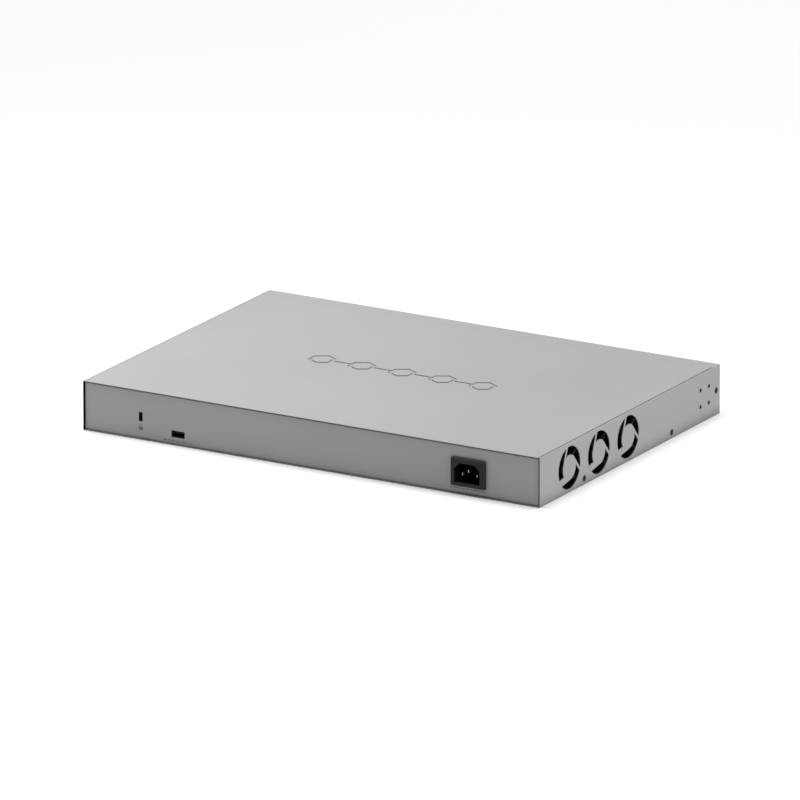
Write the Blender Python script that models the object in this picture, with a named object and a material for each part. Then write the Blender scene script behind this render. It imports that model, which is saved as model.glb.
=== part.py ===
"""A rackmount network switch, 1U high: sheet-metal case, three side fans, mains supply,
main board with twenty-four copper ports and four fibre-module ports.

The frame is the case's own: +Z up from the underside, the port panel faces -Y, the mains
inlet faces +Y, and the fans blow out through the -X side. Units are metres.
"""

import math

import bmesh
import bpy
from mathutils import Matrix, Vector

MM = 0.001

# ---------------------------------------------------------------- driving dimensions
WIDTH = 440 * MM
DEPTH = 309 * MM
HEIGHT = 43 * MM
SHEET = 1.0 * MM
GAP = 0.3 * MM  # between pieces that rest on or fit into each other
FRONT_INSET = 1.0 * MM  # the port panel lies this far inside the walls' front edges
REAR_INSET = 1.0 * MM
EDGE_GAP = 0.5 * MM  # open joint between a panel and its neighbours
SEAM = 0.8 * MM  # open joint between the lid and the side walls
SEAM_STOP = 12.5 * MM  # the joint ends this far behind the front edge, at the front rail
SEAM_RELIEF_R = 0.9 * MM
TAB_W = 7 * MM  # tabs of the lid that the low screws hold
TAB_LOW_Z = 2.5 * MM
FLANGE = 12.5 * MM  # depth of the panels' flanges
LID_FLANGE = 6.5 * MM  # the lid's rear edge turns down this far, behind the rear panel

# fans and their grille
FAN_COUNT = 3
FAN_SIZE = 40 * MM
FAN_DEPTH = 20 * MM
FAN_PITCH = 50 * MM
FAN_FROM_REAR = 50.1 * MM
FAN_BORE_R = 19 * MM
FAN_HOLE_R = 2.0 * MM
FAN_HOLE_PITCH = 32 * MM
FAN_PLATE = 2.5 * MM  # hub plate and struts
FAN_PLATE_R = 10.5 * MM
STRUT_W = 2.4 * MM
ROTOR_R = 10.4 * MM
ROTOR_WALL = 1.4 * MM
BLADE_TIP_GAP = 0.9 * MM
BLADE_COUNT = 7
BLADE_THICK = 1.0 * MM
BLADE_SWEEP = 30  # degrees round the axis from one end of a blade to the other
LEAD_R = 1.0 * MM
LEAD_EXIT_Z = 9 * MM
SHAFT_R = 1.5 * MM
SHAFT_PLAY = 0.4 * MM
GRILLE_R = 18.4 * MM
GRILLE_HUB_R = 11.0 * MM
GRILLE_SPOKES = ((40, 2.4 * MM), (160, 2.4 * MM), (280, 6.5 * MM))  # degrees, width
VENT_SLOTS = 5
VENT_W = 4 * MM
VENT_H = 26 * MM
VENT_PITCH = 8 * MM

# fasteners and rack holes on each side
SCREW_R = 1.5 * MM
SCREW_HEAD_R = 2.5 * MM
SCREW_HEAD = 1.0 * MM
SCREW_LONG = 6 * MM
LOW_SCREW_Z = 5.3 * MM
LOW_SCREWS_FROM_REAR = (75.6 * MM, 225.4 * MM)
FRONT_SCREW_INSET = 6.3 * MM
RACK_HOLE_R = 1.8 * MM
RACK_HOLE_PITCH = 14.5 * MM
RACK_FROM_FRONT = 26.4 * MM

# relief pressed into the lid: a chain of hexagon outlines
RELIEF_DEEP = 1.0 * MM
RELIEF_WALL = 0.8 * MM  # metal beside and under the pressed channel
RELIEF_LINE = 3.0 * MM
RELIEF_HEX_R = 12.5 * MM
RELIEF_PITCH = 39 * MM
RELIEF_COUNT = 5

# boards
STANDOFF = 3.6 * MM
STANDOFF_R = 2.6 * MM
BOARD = 1.6 * MM
BOARD_MARGIN = 4.5 * MM

# port panel: stacked copper jacks
JACK_BLOCKS = 3
JACK_COLUMNS = 4
JACK_PITCH = 14 * MM
JACK_SIDE = 0.6 * MM  # wall outside the outermost columns
JACK_HIGH = 25.2 * MM
JACK_DEEP = 24 * MM
JACK_MOUTH_W = 11.8 * MM
JACK_MOUTH_H = 7.2 * MM
JACK_NOTCH_W = 6.2 * MM
JACK_NOTCH_H = 2.4 * MM
JACK_CAVITY = 14 * MM
JACK_ROW_GAP = 2.0 * MM  # plastic between the two rows of mouths
SHIELD = 0.5 * MM
SHIELD_PROUD = 0.6 * MM  # the shields stand this far out of the port panel
BLOCK_PITCH = 66 * MM
BLOCK_FIRST_X = -110 * MM
PANEL_CLEAR = 0.5 * MM  # between a connector and the panel cut-out round it

# port panel: fibre-module cage, two by two
CAGE_X = 88 * MM
CAGE_MOUTH_W = 14.2 * MM
CAGE_MOUTH_H = 9.4 * MM
CAGE_WALL = 0.8 * MM
CAGE_MIDDLE = 3.6 * MM
CAGE_DEEP = 49 * MM
CAGE_PLUG_DEEP = 6 * MM

# port panel: lights, buttons and intake slots
LIGHT_X = -184 * MM
LIGHT_COUNT = 5
LIGHT_PITCH = 6 * MM
LIGHT_W = 2.4 * MM
LIGHT_H = 1.6 * MM
LIGHT_Z = 26 * MM
BUTTON_TRAVEL = 0.5 * MM
BUTTON_Z = 12 * MM
MODE_X = -182 * MM
MODE_R = 2.5 * MM
MODE_PROUD = 2.5 * MM
RESET_X = -168 * MM
RESET_R = 0.9 * MM
RESET_HOLE_R = 1.3 * MM
FRONT_VENT_X = 162 * MM
FRONT_VENT_COUNT = 12
FRONT_VENT_PITCH = 7 * MM
FRONT_VENT_W = 3 * MM
FRONT_VENT_H = 22 * MM

# rear panel
INLET_X = -152.3 * MM
INLET_Z = 19.6 * MM
BEZEL_W = 33.2 * MM
BEZEL_H = 24.6 * MM
BEZEL = 2.2 * MM
BEZEL_CHAMFER = 0.8 * MM
INLET_BODY_W = 27.4 * MM
INLET_BODY_H = 19.8 * MM
INLET_DEEP = 22 * MM
RECESS_W = 24 * MM
RECESS_H = 16.6 * MM
RECESS_DROP = 0.5 * MM
RECESS_SHIFT = 0.9 * MM  # the socket sits this far off the bezel's middle
RECESS_CHAMFER = 5 * MM
RECESS_DEEP = 16.5 * MM
PIN_W = 2 * MM
PIN_H = 4 * MM
PIN_SPREAD = 7 * MM
PIN_DROP = 2.9 * MM
EARTH_RISE = 1.1 * MM
EARTH_LEAD = 2.2 * MM  # the earth pin reaches this much further out than the other two
PIN_BELOW_RIM = 5.2 * MM
PIN_TAIL = 4 * MM
USB_X = 128.0 * MM
USB_W = 13.1 * MM
USB_H = 5.7 * MM
USB_WALL = 0.3 * MM
USB_DEEP = 14 * MM
USB_TONGUE_W = 11.1 * MM
USB_TONGUE = 1.8 * MM
USB_TONGUE_SET_BACK = 3.8 * MM
LOCK_X = 164.3 * MM
LOCK_Z = 19.8 * MM
LOCK_W = 3.6 * MM
LOCK_H = 7.9 * MM
LOCK_PLATE = 1.2 * MM

# underside: four rings that show where stick-on feet go
FOOT_RING_R = 8 * MM
FOOT_RING_DEEP = 0.3 * MM
FOOT_INSET_X = 25 * MM
FOOT_INSET_Y = 25 * MM

# ---------------------------------------------------------------- planes that follow
WALL_IN = WIDTH / 2 - SHEET  # inner face of the side walls
LID_EDGE = WALL_IN - SEAM
REAR = DEPTH / 2 - REAR_INSET  # outer face of the rear panel
FRONT = -DEPTH / 2 + FRONT_INSET  # outer face of the port panel
PANEL_TOP = HEIGHT - SHEET - EDGE_GAP
MIDDLE_Z = HEIGHT / 2
BOARD_LOW = SHEET + STANDOFF + GAP
BOARD_TOP = BOARD_LOW + BOARD
SEAT = BOARD_TOP + GAP  # what is soldered to a board starts here
SHIELD_FRONT = FRONT - SHIELD_PROUD
MAINS_SIDE = -42 * MM  # the main board keeps clear of the supply by this X
FAN_INNER = -WALL_IN + GAP + FAN_DEPTH  # the fans' inner faces
BRACKET_IN = FAN_INNER + GAP + SHEET
SOCKET_X = INLET_X + RECESS_SHIFT


# ---------------------------------------------------------------- modelling helpers
def clear_scene():
    for obj in list(bpy.data.objects):
        bpy.data.objects.remove(obj)


def finish(name, colour, roughness, metallic):
    made = bpy.data.materials.new(name)
    made.use_nodes = True
    shader = made.node_tree.nodes["Principled BSDF"]
    shader.inputs["Base Color"].default_value = (*colour, 1)
    shader.inputs["Roughness"].default_value = roughness
    shader.inputs["Metallic"].default_value = metallic
    return made


def object_of(name, bm, material=None):
    """The bmesh as an object, its faces pointing outwards."""
    bmesh.ops.recalc_face_normals(bm, faces=bm.faces)
    mesh = bpy.data.meshes.new(name)
    bm.to_mesh(mesh)
    bm.free()
    mesh.shade_smooth()
    mesh.set_sharp_from_angle(angle=math.radians(35))
    obj = bpy.data.objects.new(name, mesh)
    bpy.context.scene.collection.objects.link(obj)
    if material:
        mesh.materials.append(material)
    return obj


def add_box(bm, low, high):
    middle = (Vector(low) + Vector(high)) / 2
    size = Vector(high) - Vector(low)
    place = Matrix.Translation(middle) @ Matrix.Diagonal((*size, 1))
    bmesh.ops.create_cube(bm, size=1, matrix=place)


def box(name, low, high, material=None):
    bm = bmesh.new()
    add_box(bm, low, high)
    return object_of(name, bm, material)


def boxes(name, corners, material=None):
    """Several boxes that don't touch, as one object."""
    bm = bmesh.new()
    for low, high in corners:
        add_box(bm, low, high)
    return object_of(name, bm, material)


def add_round(bm, start, end, r_start, r_end, segments):
    """A cylinder or a cone's frustum from the point start to the point end."""
    start, end = Vector(start), Vector(end)
    turn = Vector((0, 0, 1)).rotation_difference(end - start).to_matrix().to_4x4()
    place = Matrix.Translation((start + end) / 2) @ turn
    length = (end - start).length
    bmesh.ops.create_cone(
        bm, cap_ends=True, segments=segments, radius1=r_start, radius2=r_end, depth=length, matrix=place
    )


def rounds(name, rods, segments, material=None):
    """Several cylinders or cones, each (start, end, radius at start, radius at end)."""
    bm = bmesh.new()
    for start, end, r_start, r_end in rods:
        add_round(bm, start, end, r_start, r_end, segments)
    return object_of(name, bm, material)


def add_prism(bm, outline, near, far):
    """Extrudes the (x, z) outline along Y from near to far."""
    face = bm.faces.new([bm.verts.new((x, near, z)) for x, z in outline])
    made = bmesh.ops.extrude_face_region(bm, geom=[face])
    moved = [v for v in made["geom"] if isinstance(v, bmesh.types.BMVert)]
    bmesh.ops.translate(bm, verts=moved, vec=(0, far - near, 0))


def prisms(name, outlines, near, far, material=None):
    bm = bmesh.new()
    for outline in outlines:
        add_prism(bm, outline, near, far)
    return object_of(name, bm, material)


def lathe(name, profile, origin, segments, material=None):
    """Turns a profile of (distance along X, radius) points, axis to axis, about the X axis."""
    bm = bmesh.new()
    verts = [bm.verts.new((along, 0, radius)) for along, radius in profile]
    edges = [bm.edges.new(pair) for pair in zip(verts, verts[1:])]
    bmesh.ops.spin(
        bm, geom=verts + edges, cent=(0, 0, 0), axis=(1, 0, 0), angle=math.tau, steps=segments, use_merge=True
    )
    bmesh.ops.remove_doubles(bm, verts=bm.verts, dist=1e-6)
    obj = object_of(name, bm, material)
    obj.location = origin
    return obj


def combine(base, operation, others, tangled=False):
    """Adds a Boolean for each of the others, which then count as helpers."""
    for other in others:
        modifier = base.modifiers.new(f"{operation} {other.name}", "BOOLEAN")
        modifier.operation = operation
        modifier.solver = "EXACT"
        modifier.use_self = tangled
        modifier.object = other
        other.hide_render = True
        other.display_type = "WIRE"
    return base


def cut(base, *others):
    return combine(base, "DIFFERENCE", others)


def unite(base, *others):
    return combine(base, "UNION", others)


def smooth_route(points, steps):
    """Points along a Catmull-Rom curve through the route's own points."""
    points = [Vector(p) for p in points]
    ends = [points[0] * 2 - points[1], *points, points[-1] * 2 - points[-2]]
    found = []
    for a, b, c, d in zip(ends, ends[1:], ends[2:], ends[3:]):
        for step in range(steps):
            t = step / steps
            curved = (2 * a - 5 * b + 4 * c - d) * t**2 + (3 * b - a - 3 * c + d) * t**3
            found.append((2 * b + (c - a) * t + curved) / 2)
    return [*found, points[-1]]


def lead(name, points, radius, material, steps=4):
    """An insulated wire or sleeved bundle along a smooth route."""
    curve = bpy.data.curves.new(name, "CURVE")
    curve.dimensions = "3D"
    spline = curve.splines.new("POLY")
    route = smooth_route(points, steps)
    spline.points.add(len(route) - 1)
    for point, place in zip(spline.points, route):
        point.co = (*place, 1)
    curve.bevel_depth = radius
    curve.bevel_resolution = 2
    curve.use_fill_caps = True
    curve.materials.append(material)
    obj = bpy.data.objects.new(name, curve)
    bpy.context.scene.collection.objects.link(obj)
    return obj


# ---------------------------------------------------------------- places shared by pieces
def fan_y(index):
    return DEPTH / 2 - FAN_FROM_REAR - index * FAN_PITCH


def side_screws():
    """(name, y, z) of the cover screws on one side."""
    rear, middle = (DEPTH / 2 - back for back in LOW_SCREWS_FROM_REAR)
    return (
        ("rear", rear, LOW_SCREW_Z),
        ("middle", middle, LOW_SCREW_Z),
        ("front", -DEPTH / 2 + FRONT_SCREW_INSET, MIDDLE_Z),
    )


def rack_holes():
    """(y, z) of the four rack-bracket holes on one side."""
    middle_y = -DEPTH / 2 + RACK_FROM_FRONT
    half = RACK_HOLE_PITCH / 2
    return [(middle_y + a * half, MIDDLE_Z + b * half) for a in (-1, 1) for b in (-1, 1)]


def block_x(index):
    return BLOCK_FIRST_X + index * BLOCK_PITCH


def jack_box():
    """Half width, low and high Z of a jack housing."""
    return JACK_COLUMNS * JACK_PITCH / 2 + JACK_SIDE, SEAT, SEAT + JACK_HIGH


def jack_mouths(index):
    """(x, low z, high z, way the latch notch points) of each mouth in a block."""
    _, low, high = jack_box()
    middle = (low + high) / 2
    half = JACK_ROW_GAP / 2
    first = block_x(index) - (JACK_COLUMNS - 1) * JACK_PITCH / 2
    places = []
    for column in range(JACK_COLUMNS):
        x = first + column * JACK_PITCH
        places.append((x, middle + half, middle + half + JACK_MOUTH_H, 1))
        places.append((x, middle - half - JACK_MOUTH_H, middle - half, -1))
    return places


def cage_size():
    """Outer width and height of the fibre-module cage."""
    return 2 * CAGE_MOUTH_W + 3 * CAGE_WALL, 2 * CAGE_MOUTH_H + 2 * CAGE_WALL + CAGE_MIDDLE


def cage_mouths():
    """(low, high) of each of the cage's four mouths, as (x, z) pairs."""
    _, high = cage_size()
    top = SEAT + high - CAGE_WALL
    mouths = []
    for low_z in (SEAT + CAGE_WALL, top - CAGE_MOUTH_H):
        for side in (-1, 1):
            near = CAGE_X + side * CAGE_WALL / 2
            far = near + side * CAGE_MOUTH_W
            mouths.append(((min(near, far), low_z), (max(near, far), low_z + CAGE_MOUTH_H)))
    return mouths


def light_xs():
    first = LIGHT_X - (LIGHT_COUNT - 1) * LIGHT_PITCH / 2
    return [first + i * LIGHT_PITCH for i in range(LIGHT_COUNT)]


def main_board_standoffs():
    left, right = FAN_INNER + BOARD_MARGIN + STANDOFF_R, WALL_IN - 12 * MM
    back, corner = REAR - 12 * MM, MAINS_SIDE + 8 * MM
    return [(left, -100 * MM), (0, -100 * MM), (right, -100 * MM), (right, back), (corner, back), (corner, 0)]


def supply_board():
    """(low x, low y), (high x, high y) of the power supply's board."""
    return (BRACKET_IN + 10 * MM, 22 * MM), (MAINS_SIDE - 6 * MM, REAR - 31 * MM)


def supply_standoffs():
    (x0, y0), (x1, y1) = supply_board()
    inset = STANDOFF_R + 1.5 * MM
    return [(x, y) for x in (x0 + inset, x1 - inset) for y in (y0 + inset, y1 - inset)]


# ---------------------------------------------------------------- case
def grille_cutter(index):
    """Three openings between the hub disc and the rim; each spoke leaves the disc at a tangent."""
    y = fan_y(index)
    out, inner = -WIDTH / 2 - SHEET, -WALL_IN + SHEET / 2
    name = f"grille_cutter_{index}"
    ring = rounds(name, [((inner, y, MIDDLE_Z), (out, y, MIDDLE_Z), GRILLE_R, GRILLE_R)], 44)
    disc = (inner + MM, y, MIDDLE_Z), (out - MM, y, MIDDLE_Z), GRILLE_HUB_R, GRILLE_HUB_R
    keep = rounds(f"{name}_disc", [disc], 32)
    cut(ring, keep)
    for number, (degrees, wide) in enumerate(GRILLE_SPOKES):
        bm = bmesh.new()
        add_box(bm, (-2 * MM, 0, GRILLE_HUB_R - wide), (2 * MM + SHEET, 2 * GRILLE_R, GRILLE_HUB_R))
        # The bar is drawn for a tangent point straight up, then turned about the fan's axis.
        turn = Matrix.Rotation(math.radians(degrees - 90), 4, "X").inverted()
        mirror = Matrix.Diagonal((1, -1, 1, 1))
        place = Matrix.Translation((-WIDTH / 2, y, MIDDLE_Z))
        bmesh.ops.transform(bm, matrix=place @ turn @ mirror, verts=bm.verts)
        cut(ring, object_of(f"{name}_spoke_{number}", bm))
    return ring


def relief(name, line, low, top):
    """A chain of hexagon outlines joined by straight links, centred on the lid."""
    xs = [(i - (RELIEF_COUNT - 1) / 2) * RELIEF_PITCH for i in range(RELIEF_COUNT)]
    slack = (line - RELIEF_LINE) / 2 / math.cos(math.pi / 6)
    outer_r = RELIEF_HEX_R + slack
    inner_r = RELIEF_HEX_R - RELIEF_LINE / math.cos(math.pi / 6) - slack
    outer = rounds(name, [((x, 0, low), (x, 0, top), outer_r, outer_r) for x in xs], 6)
    islands = [((x, 0, low - SHEET), (x, 0, top + SHEET), inner_r, inner_r) for x in xs]
    inner = rounds(f"{name}_islands", islands, 6)
    cut(outer, inner)
    half = line / 2
    reach = RELIEF_HEX_R * math.cos(math.pi / 6) - RELIEF_LINE / 2
    links = [((a + reach, -half, low), (b - reach, half, top)) for a, b in zip(xs, xs[1:])]
    return unite(outer, boxes(f"{name}_links", links))


def top_cover(paint):
    """The lid: let in between the walls, turned down behind the rear panel, with a tab to each low screw."""
    back, front = DEPTH / 2, -DEPTH / 2 + SEAM_STOP + GAP
    lid = box("top_cover", (-LID_EDGE, front, HEIGHT - SHEET), (LID_EDGE, back, HEIGHT), paint)
    tabs, holes = [], []
    for side in (-1, 1):
        outer, inner = side * LID_EDGE, side * (LID_EDGE - SHEET)
        for _, y, z in side_screws()[:2]:
            low = (min(outer, inner), y - TAB_W / 2, TAB_LOW_Z)
            tabs.append((low, (max(outer, inner), y + TAB_W / 2, HEIGHT - SHEET / 2)))
            ends = (side * (LID_EDGE - 2 * SHEET), y, z), (side * (LID_EDGE + SHEET), y, z)
            holes.append((*ends, SCREW_R + GAP, SCREW_R + GAP))
    flange_back = REAR - SHEET - EDGE_GAP
    half = LID_EDGE - 3 * SHEET
    low = (-half, flange_back - SHEET, HEIGHT - SHEET - LID_FLANGE)
    tabs.append((low, (half, flange_back, HEIGHT - SHEET / 2)))
    floor = HEIGHT - RELIEF_DEEP
    wide = RELIEF_LINE + 2 * RELIEF_WALL
    backing = relief("relief_backing", wide, floor - RELIEF_WALL, HEIGHT - SHEET / 2)
    unite(lid, boxes("lid_tabs", tabs), backing)
    channel = relief("relief_cutter", RELIEF_LINE, floor, HEIGHT + SHEET)
    return cut(lid, channel, rounds("tab_hole_cutter", holes, 12))


def chassis_base(paint):
    """Floor and side walls bent from one sheet, with a rail welded across the front."""
    half_w, half_d = WIDTH / 2, DEPTH / 2
    base = box("chassis_base", (-half_w, -half_d, 0), (half_w, half_d, HEIGHT), paint)
    rail_end = -half_d + SEAM_STOP
    room = box("base_room", (-WALL_IN, -DEPTH, SHEET), (WALL_IN, DEPTH, HEIGHT - SHEET))
    top_low, top_high = (-WALL_IN, rail_end, HEIGHT - 2 * SHEET), (WALL_IN, DEPTH, HEIGHT + SHEET)
    cut(base, room, box("base_top_opening", top_low, top_high))
    reliefs, sinks, holes = [], [], []
    slope = (SCREW_HEAD_R - SCREW_R) / SCREW_HEAD
    wide, narrow = SCREW_HEAD_R + GAP + slope * SHEET, SCREW_HEAD_R + GAP - slope * 1.5 * SHEET
    for side in (-1, 1):
        x = side * (WALL_IN - SEAM / 2)
        low, high = (x, rail_end, HEIGHT - 2 * SHEET), (x, rail_end, HEIGHT + SHEET)
        reliefs.append((low, high, SEAM_RELIEF_R, SEAM_RELIEF_R))
        out, inner = side * (half_w + SHEET), side * (WALL_IN - SHEET / 2)
        sinks += [((out, y, z), (inner, y, z), wide, narrow) for _, y, z in side_screws()]
        holes += [((out, y, z), (inner, y, z), RACK_HOLE_R, RACK_HOLE_R) for y, z in rack_holes()]
    cut(base, rounds("relief_hole_cutter", reliefs, 14))
    cut(base, rounds("countersink_cutter", sinks, 20), rounds("rack_hole_cutter", holes, 12))
    cut(base, *(grille_cutter(i) for i in range(FAN_COUNT)))
    slots = []
    for i in range(FAN_COUNT):
        for slot in range(VENT_SLOTS):
            y = fan_y(i) + (slot - (VENT_SLOTS - 1) / 2) * VENT_PITCH
            low = (WALL_IN - SHEET / 2, y - VENT_W / 2, MIDDLE_Z - VENT_H / 2)
            slots.append((low, (half_w + SHEET, y + VENT_W / 2, MIDDLE_Z + VENT_H / 2)))
    cut(base, boxes("vent_cutter", slots), foot_ring_cutter())
    posts = main_board_standoffs() + supply_standoffs()
    rods = [((x, y, SHEET / 2), (x, y, SHEET + STANDOFF), STANDOFF_R, STANDOFF_R) for x, y in posts]
    return unite(base, rounds("standoffs", rods, 10))


def rear_panel(paint):
    """Plate let in at the back, its side flanges welded to the walls."""
    edge, inner = WALL_IN - EDGE_GAP, REAR - SHEET
    panel = box("rear_panel", (-edge, inner, SHEET + GAP), (edge, REAR, PANEL_TOP), paint)
    flanges = []
    for side in (-1, 1):
        near, far = side * (edge - SHEET), side * edge
        low = (min(near, far), REAR - FLANGE, 8 * MM)
        flanges.append((low, (max(near, far), inner + SHEET / 2, PANEL_TOP - LID_FLANGE)))
    unite(panel, boxes("rear_flanges", flanges))
    return cut(panel, rear_panel_cutter())


def rear_panel_cutter():
    """Mains inlet, USB socket and lock slot."""
    near, far = REAR - 2 * SHEET, REAR + SHEET
    body = (INLET_BODY_W / 2 + GAP, INLET_BODY_H / 2 + GAP)
    usb_z = SEAT + USB_H / 2
    holes = (
        (INLET_X, INLET_Z, *body),
        (USB_X, usb_z, USB_W / 2 - USB_WALL / 2, USB_H / 2),
        (LOCK_X, LOCK_Z, LOCK_W / 2, LOCK_H / 2),
    )
    return boxes("rear_panel_cutter", [((x - w, near, z - h), (x + w, far, z + h)) for x, z, w, h in holes])


def foot_ring_cutter():
    """Shallow round marks in the underside."""
    x, y = WIDTH / 2 - FOOT_INSET_X, DEPTH / 2 - FOOT_INSET_Y
    marks = []
    for side in (-1, 1):
        for end in (-1, 1):
            low, high = (side * x, end * y, -SHEET), (side * x, end * y, FOOT_RING_DEEP)
            marks.append((low, high, FOOT_RING_R, FOOT_RING_R))
    return rounds("foot_ring_cutter", marks, 24)


def front_panel(paint):
    """The port panel, with a top return and side flanges that the front screws hold."""
    inner, edge = FRONT + SHEET, WALL_IN - EDGE_GAP
    low_z = SHEET + GAP
    panel = box("front_panel", (-edge, FRONT, low_z), (edge, inner, PANEL_TOP), paint)
    overlap = SHEET / 2
    lip_half = edge - 12 * MM
    lip = (-lip_half, inner - overlap, PANEL_TOP - SHEET), (lip_half, FRONT + FLANGE, PANEL_TOP)
    flanges = [lip]
    for side in (-1, 1):
        near, far = side * (edge - SHEET), side * edge
        low = (min(near, far), inner - overlap, 8 * MM)
        flanges.append((low, (max(near, far), FRONT + FLANGE, PANEL_TOP - 8 * MM)))
    unite(panel, boxes("panel_flanges", flanges))
    holes = []
    half_jack, low, high = jack_box()
    around = GAP + SHIELD + PANEL_CLEAR
    for i in range(JACK_BLOCKS):
        x = block_x(i)
        holes.append((x - half_jack - around, low - PANEL_CLEAR, x + half_jack + around, high + around))
    cage_w, cage_h = cage_size()
    half_cage = cage_w / 2 + PANEL_CLEAR
    holes.append((CAGE_X - half_cage, SEAT - PANEL_CLEAR, CAGE_X + half_cage, SEAT + cage_h + PANEL_CLEAR))
    for x in light_xs():
        half_w, half_h = LIGHT_W / 2 + GAP, LIGHT_H / 2 + GAP
        holes.append((x - half_w, LIGHT_Z - half_h, x + half_w, LIGHT_Z + half_h))
    for i in range(FRONT_VENT_COUNT):
        x = FRONT_VENT_X + (i - (FRONT_VENT_COUNT - 1) / 2) * FRONT_VENT_PITCH
        half_w, half_h = FRONT_VENT_W / 2, FRONT_VENT_H / 2
        holes.append((x - half_w, MIDDLE_Z - half_h, x + half_w, MIDDLE_Z + half_h))
    near, far = FRONT - SHEET, inner + SHEET
    cut(panel, boxes("front_panel_cutter", [((a, near, b), (c, far, d)) for a, b, c, d in holes]))
    buttons = ((MODE_X, MODE_R + GAP), (RESET_X, RESET_HOLE_R))
    rods = [((x, near, BUTTON_Z), (x, far, BUTTON_Z), r, r) for x, r in buttons]
    screws = []
    _, y, z = side_screws()[2]
    for side in (-1, 1):
        start, end = (side * (edge - 2 * SHEET), y, z), (side * WIDTH / 2, y, z)
        screws.append((start, end, SCREW_R + GAP, SCREW_R + GAP))
    return cut(panel, rounds("button_hole_cutter", rods, 16), rounds("flange_hole_cutter", screws, 12))


def cover_screws(black):
    """Countersunk screws: on each side two hold the lid's tabs and one the port panel."""
    profile = (
        (0, 0),
        (0, SCREW_HEAD_R),
        (SCREW_HEAD, SCREW_R),
        (SCREW_LONG, SCREW_R),
        (SCREW_LONG, 0),
    )
    for label, side in (("fan_side", -1), ("vent_side", 1)):
        for name, y, z in side_screws():
            screw = lathe(f"cover_screw_{label}_{name}", profile, (side * WIDTH / 2, y, z), 16, black)
            if side > 0:
                screw.rotation_euler = (0, 0, math.pi)


# ---------------------------------------------------------------- fans
def fan_frame(index, plastic):
    """Square housing with the hub plate on four struts at the outlet face."""
    y, half = fan_y(index), FAN_SIZE / 2
    out, inner = -WALL_IN + GAP, FAN_INNER
    low, high = (out, y - half, MIDDLE_Z - half), (inner, y + half, MIDDLE_Z + half)
    frame = box(f"fan_frame_{index + 1}", low, high, plastic)
    start, end = out - SHEET, inner + SHEET
    bore = ((start, y, MIDDLE_Z), (end, y, MIDDLE_Z), FAN_BORE_R, FAN_BORE_R)
    corner = FAN_HOLE_PITCH / 2
    holes = []
    for a in (y - corner, y + corner):
        for b in (MIDDLE_Z - corner, MIDDLE_Z + corner):
            holes.append(((start, a, b), (end, a, b), FAN_HOLE_R, FAN_HOLE_R))
    cut(frame, rounds(f"fan_bore_{index}", [bore], 36), rounds(f"fan_corner_holes_{index}", holes, 10))
    plate_end = out + FAN_PLATE
    plate = (out, y, MIDDLE_Z), (plate_end, y, MIDDLE_Z), FAN_PLATE_R, FAN_PLATE_R
    unite(frame, rounds(f"fan_plate_{index}", [plate], 24))
    reach = half + MM / 2
    for number in range(4):
        bm = bmesh.new()
        add_box(bm, (out, -STRUT_W / 2, FAN_PLATE_R - MM), (plate_end, STRUT_W / 2, reach))
        turn = Matrix.Rotation(math.radians(45 + 90 * number), 4, "X")
        bmesh.ops.transform(bm, matrix=Matrix.Translation((0, y, MIDDLE_Z)) @ turn, verts=bm.verts)
        unite(frame, object_of(f"fan_strut_{index}_{number}", bm))
    return frame


def fan_motor(index, metal):
    """Wound stator on the hub plate, with the bearing tube through its middle."""
    start = FAN_PLATE + GAP
    end = FAN_DEPTH - 5 * MM
    bore, outer = SHAFT_R + SHAFT_PLAY, ROTOR_R - ROTOR_WALL - 1.2 * MM
    origin = (-WALL_IN + GAP, fan_y(index), MIDDLE_Z)
    neck = 3 * MM
    profile = (
        (start, bore),
        (start, outer),
        (end - neck, outer),
        (end - neck, bore + MM),
        (end, bore + MM),
        (end, bore),
    )
    return lathe(f"fan_motor_{index + 1}", (*profile, profile[0]), origin, 16, metal)


def blade(bm, number, length, root, tip):
    """One swept blade: three stations along the axis, skinned on both faces and all edges."""
    stations = 3
    rings = []
    for station in range(stations):
        share = station / (stations - 1)
        middle = math.radians(BLADE_SWEEP * (share - 0.5) + 360 / BLADE_COUNT * number)
        corners = []
        for radius, side in ((root, -1), (tip, -1), (tip, 1), (root, 1)):
            turn = middle + side * BLADE_THICK / 2 / radius
            corners.append(bm.verts.new((share * length, radius * math.sin(turn), radius * math.cos(turn))))
        rings.append(corners)
    for first, second in zip(rings, rings[1:]):
        for a in range(4):
            b = (a + 1) % 4
            bm.faces.new((first[a], first[b], second[b], second[a]))
    bm.faces.new(rings[0])
    bm.faces.new(rings[-1][::-1])


def fan_rotor(index, plastic):
    """Hub cup with its shaft, and the blades round it. Its origin is on the shaft's axis."""
    origin = (-WALL_IN + GAP, fan_y(index), MIDDLE_Z)
    mouth, end = FAN_PLATE + 0.8 * MM, FAN_DEPTH - MM
    tip = FAN_PLATE + 2 * MM
    profile = (
        (end, 0),
        (end, ROTOR_R - MM),
        (end - MM, ROTOR_R),
        (mouth, ROTOR_R),
        (mouth, ROTOR_R - ROTOR_WALL),
        (end - 2.5 * MM, ROTOR_R - ROTOR_WALL),
        (end - 2.5 * MM, SHAFT_R),
        (tip, SHAFT_R),
        (tip, 0),
    )
    rotor = lathe(f"fan_rotor_{index + 1}", profile, origin, 21, plastic)
    bm = bmesh.new()
    length = end - mouth - 2.5 * MM
    for number in range(BLADE_COUNT):
        blade(bm, number, length, ROTOR_R - ROTOR_WALL / 2, FAN_BORE_R - BLADE_TIP_GAP)
    blades = object_of(f"fan_blades_{index}", bm)
    blades.location = (origin[0] + mouth + MM, origin[1], origin[2])
    return unite(rotor, blades)


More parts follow.
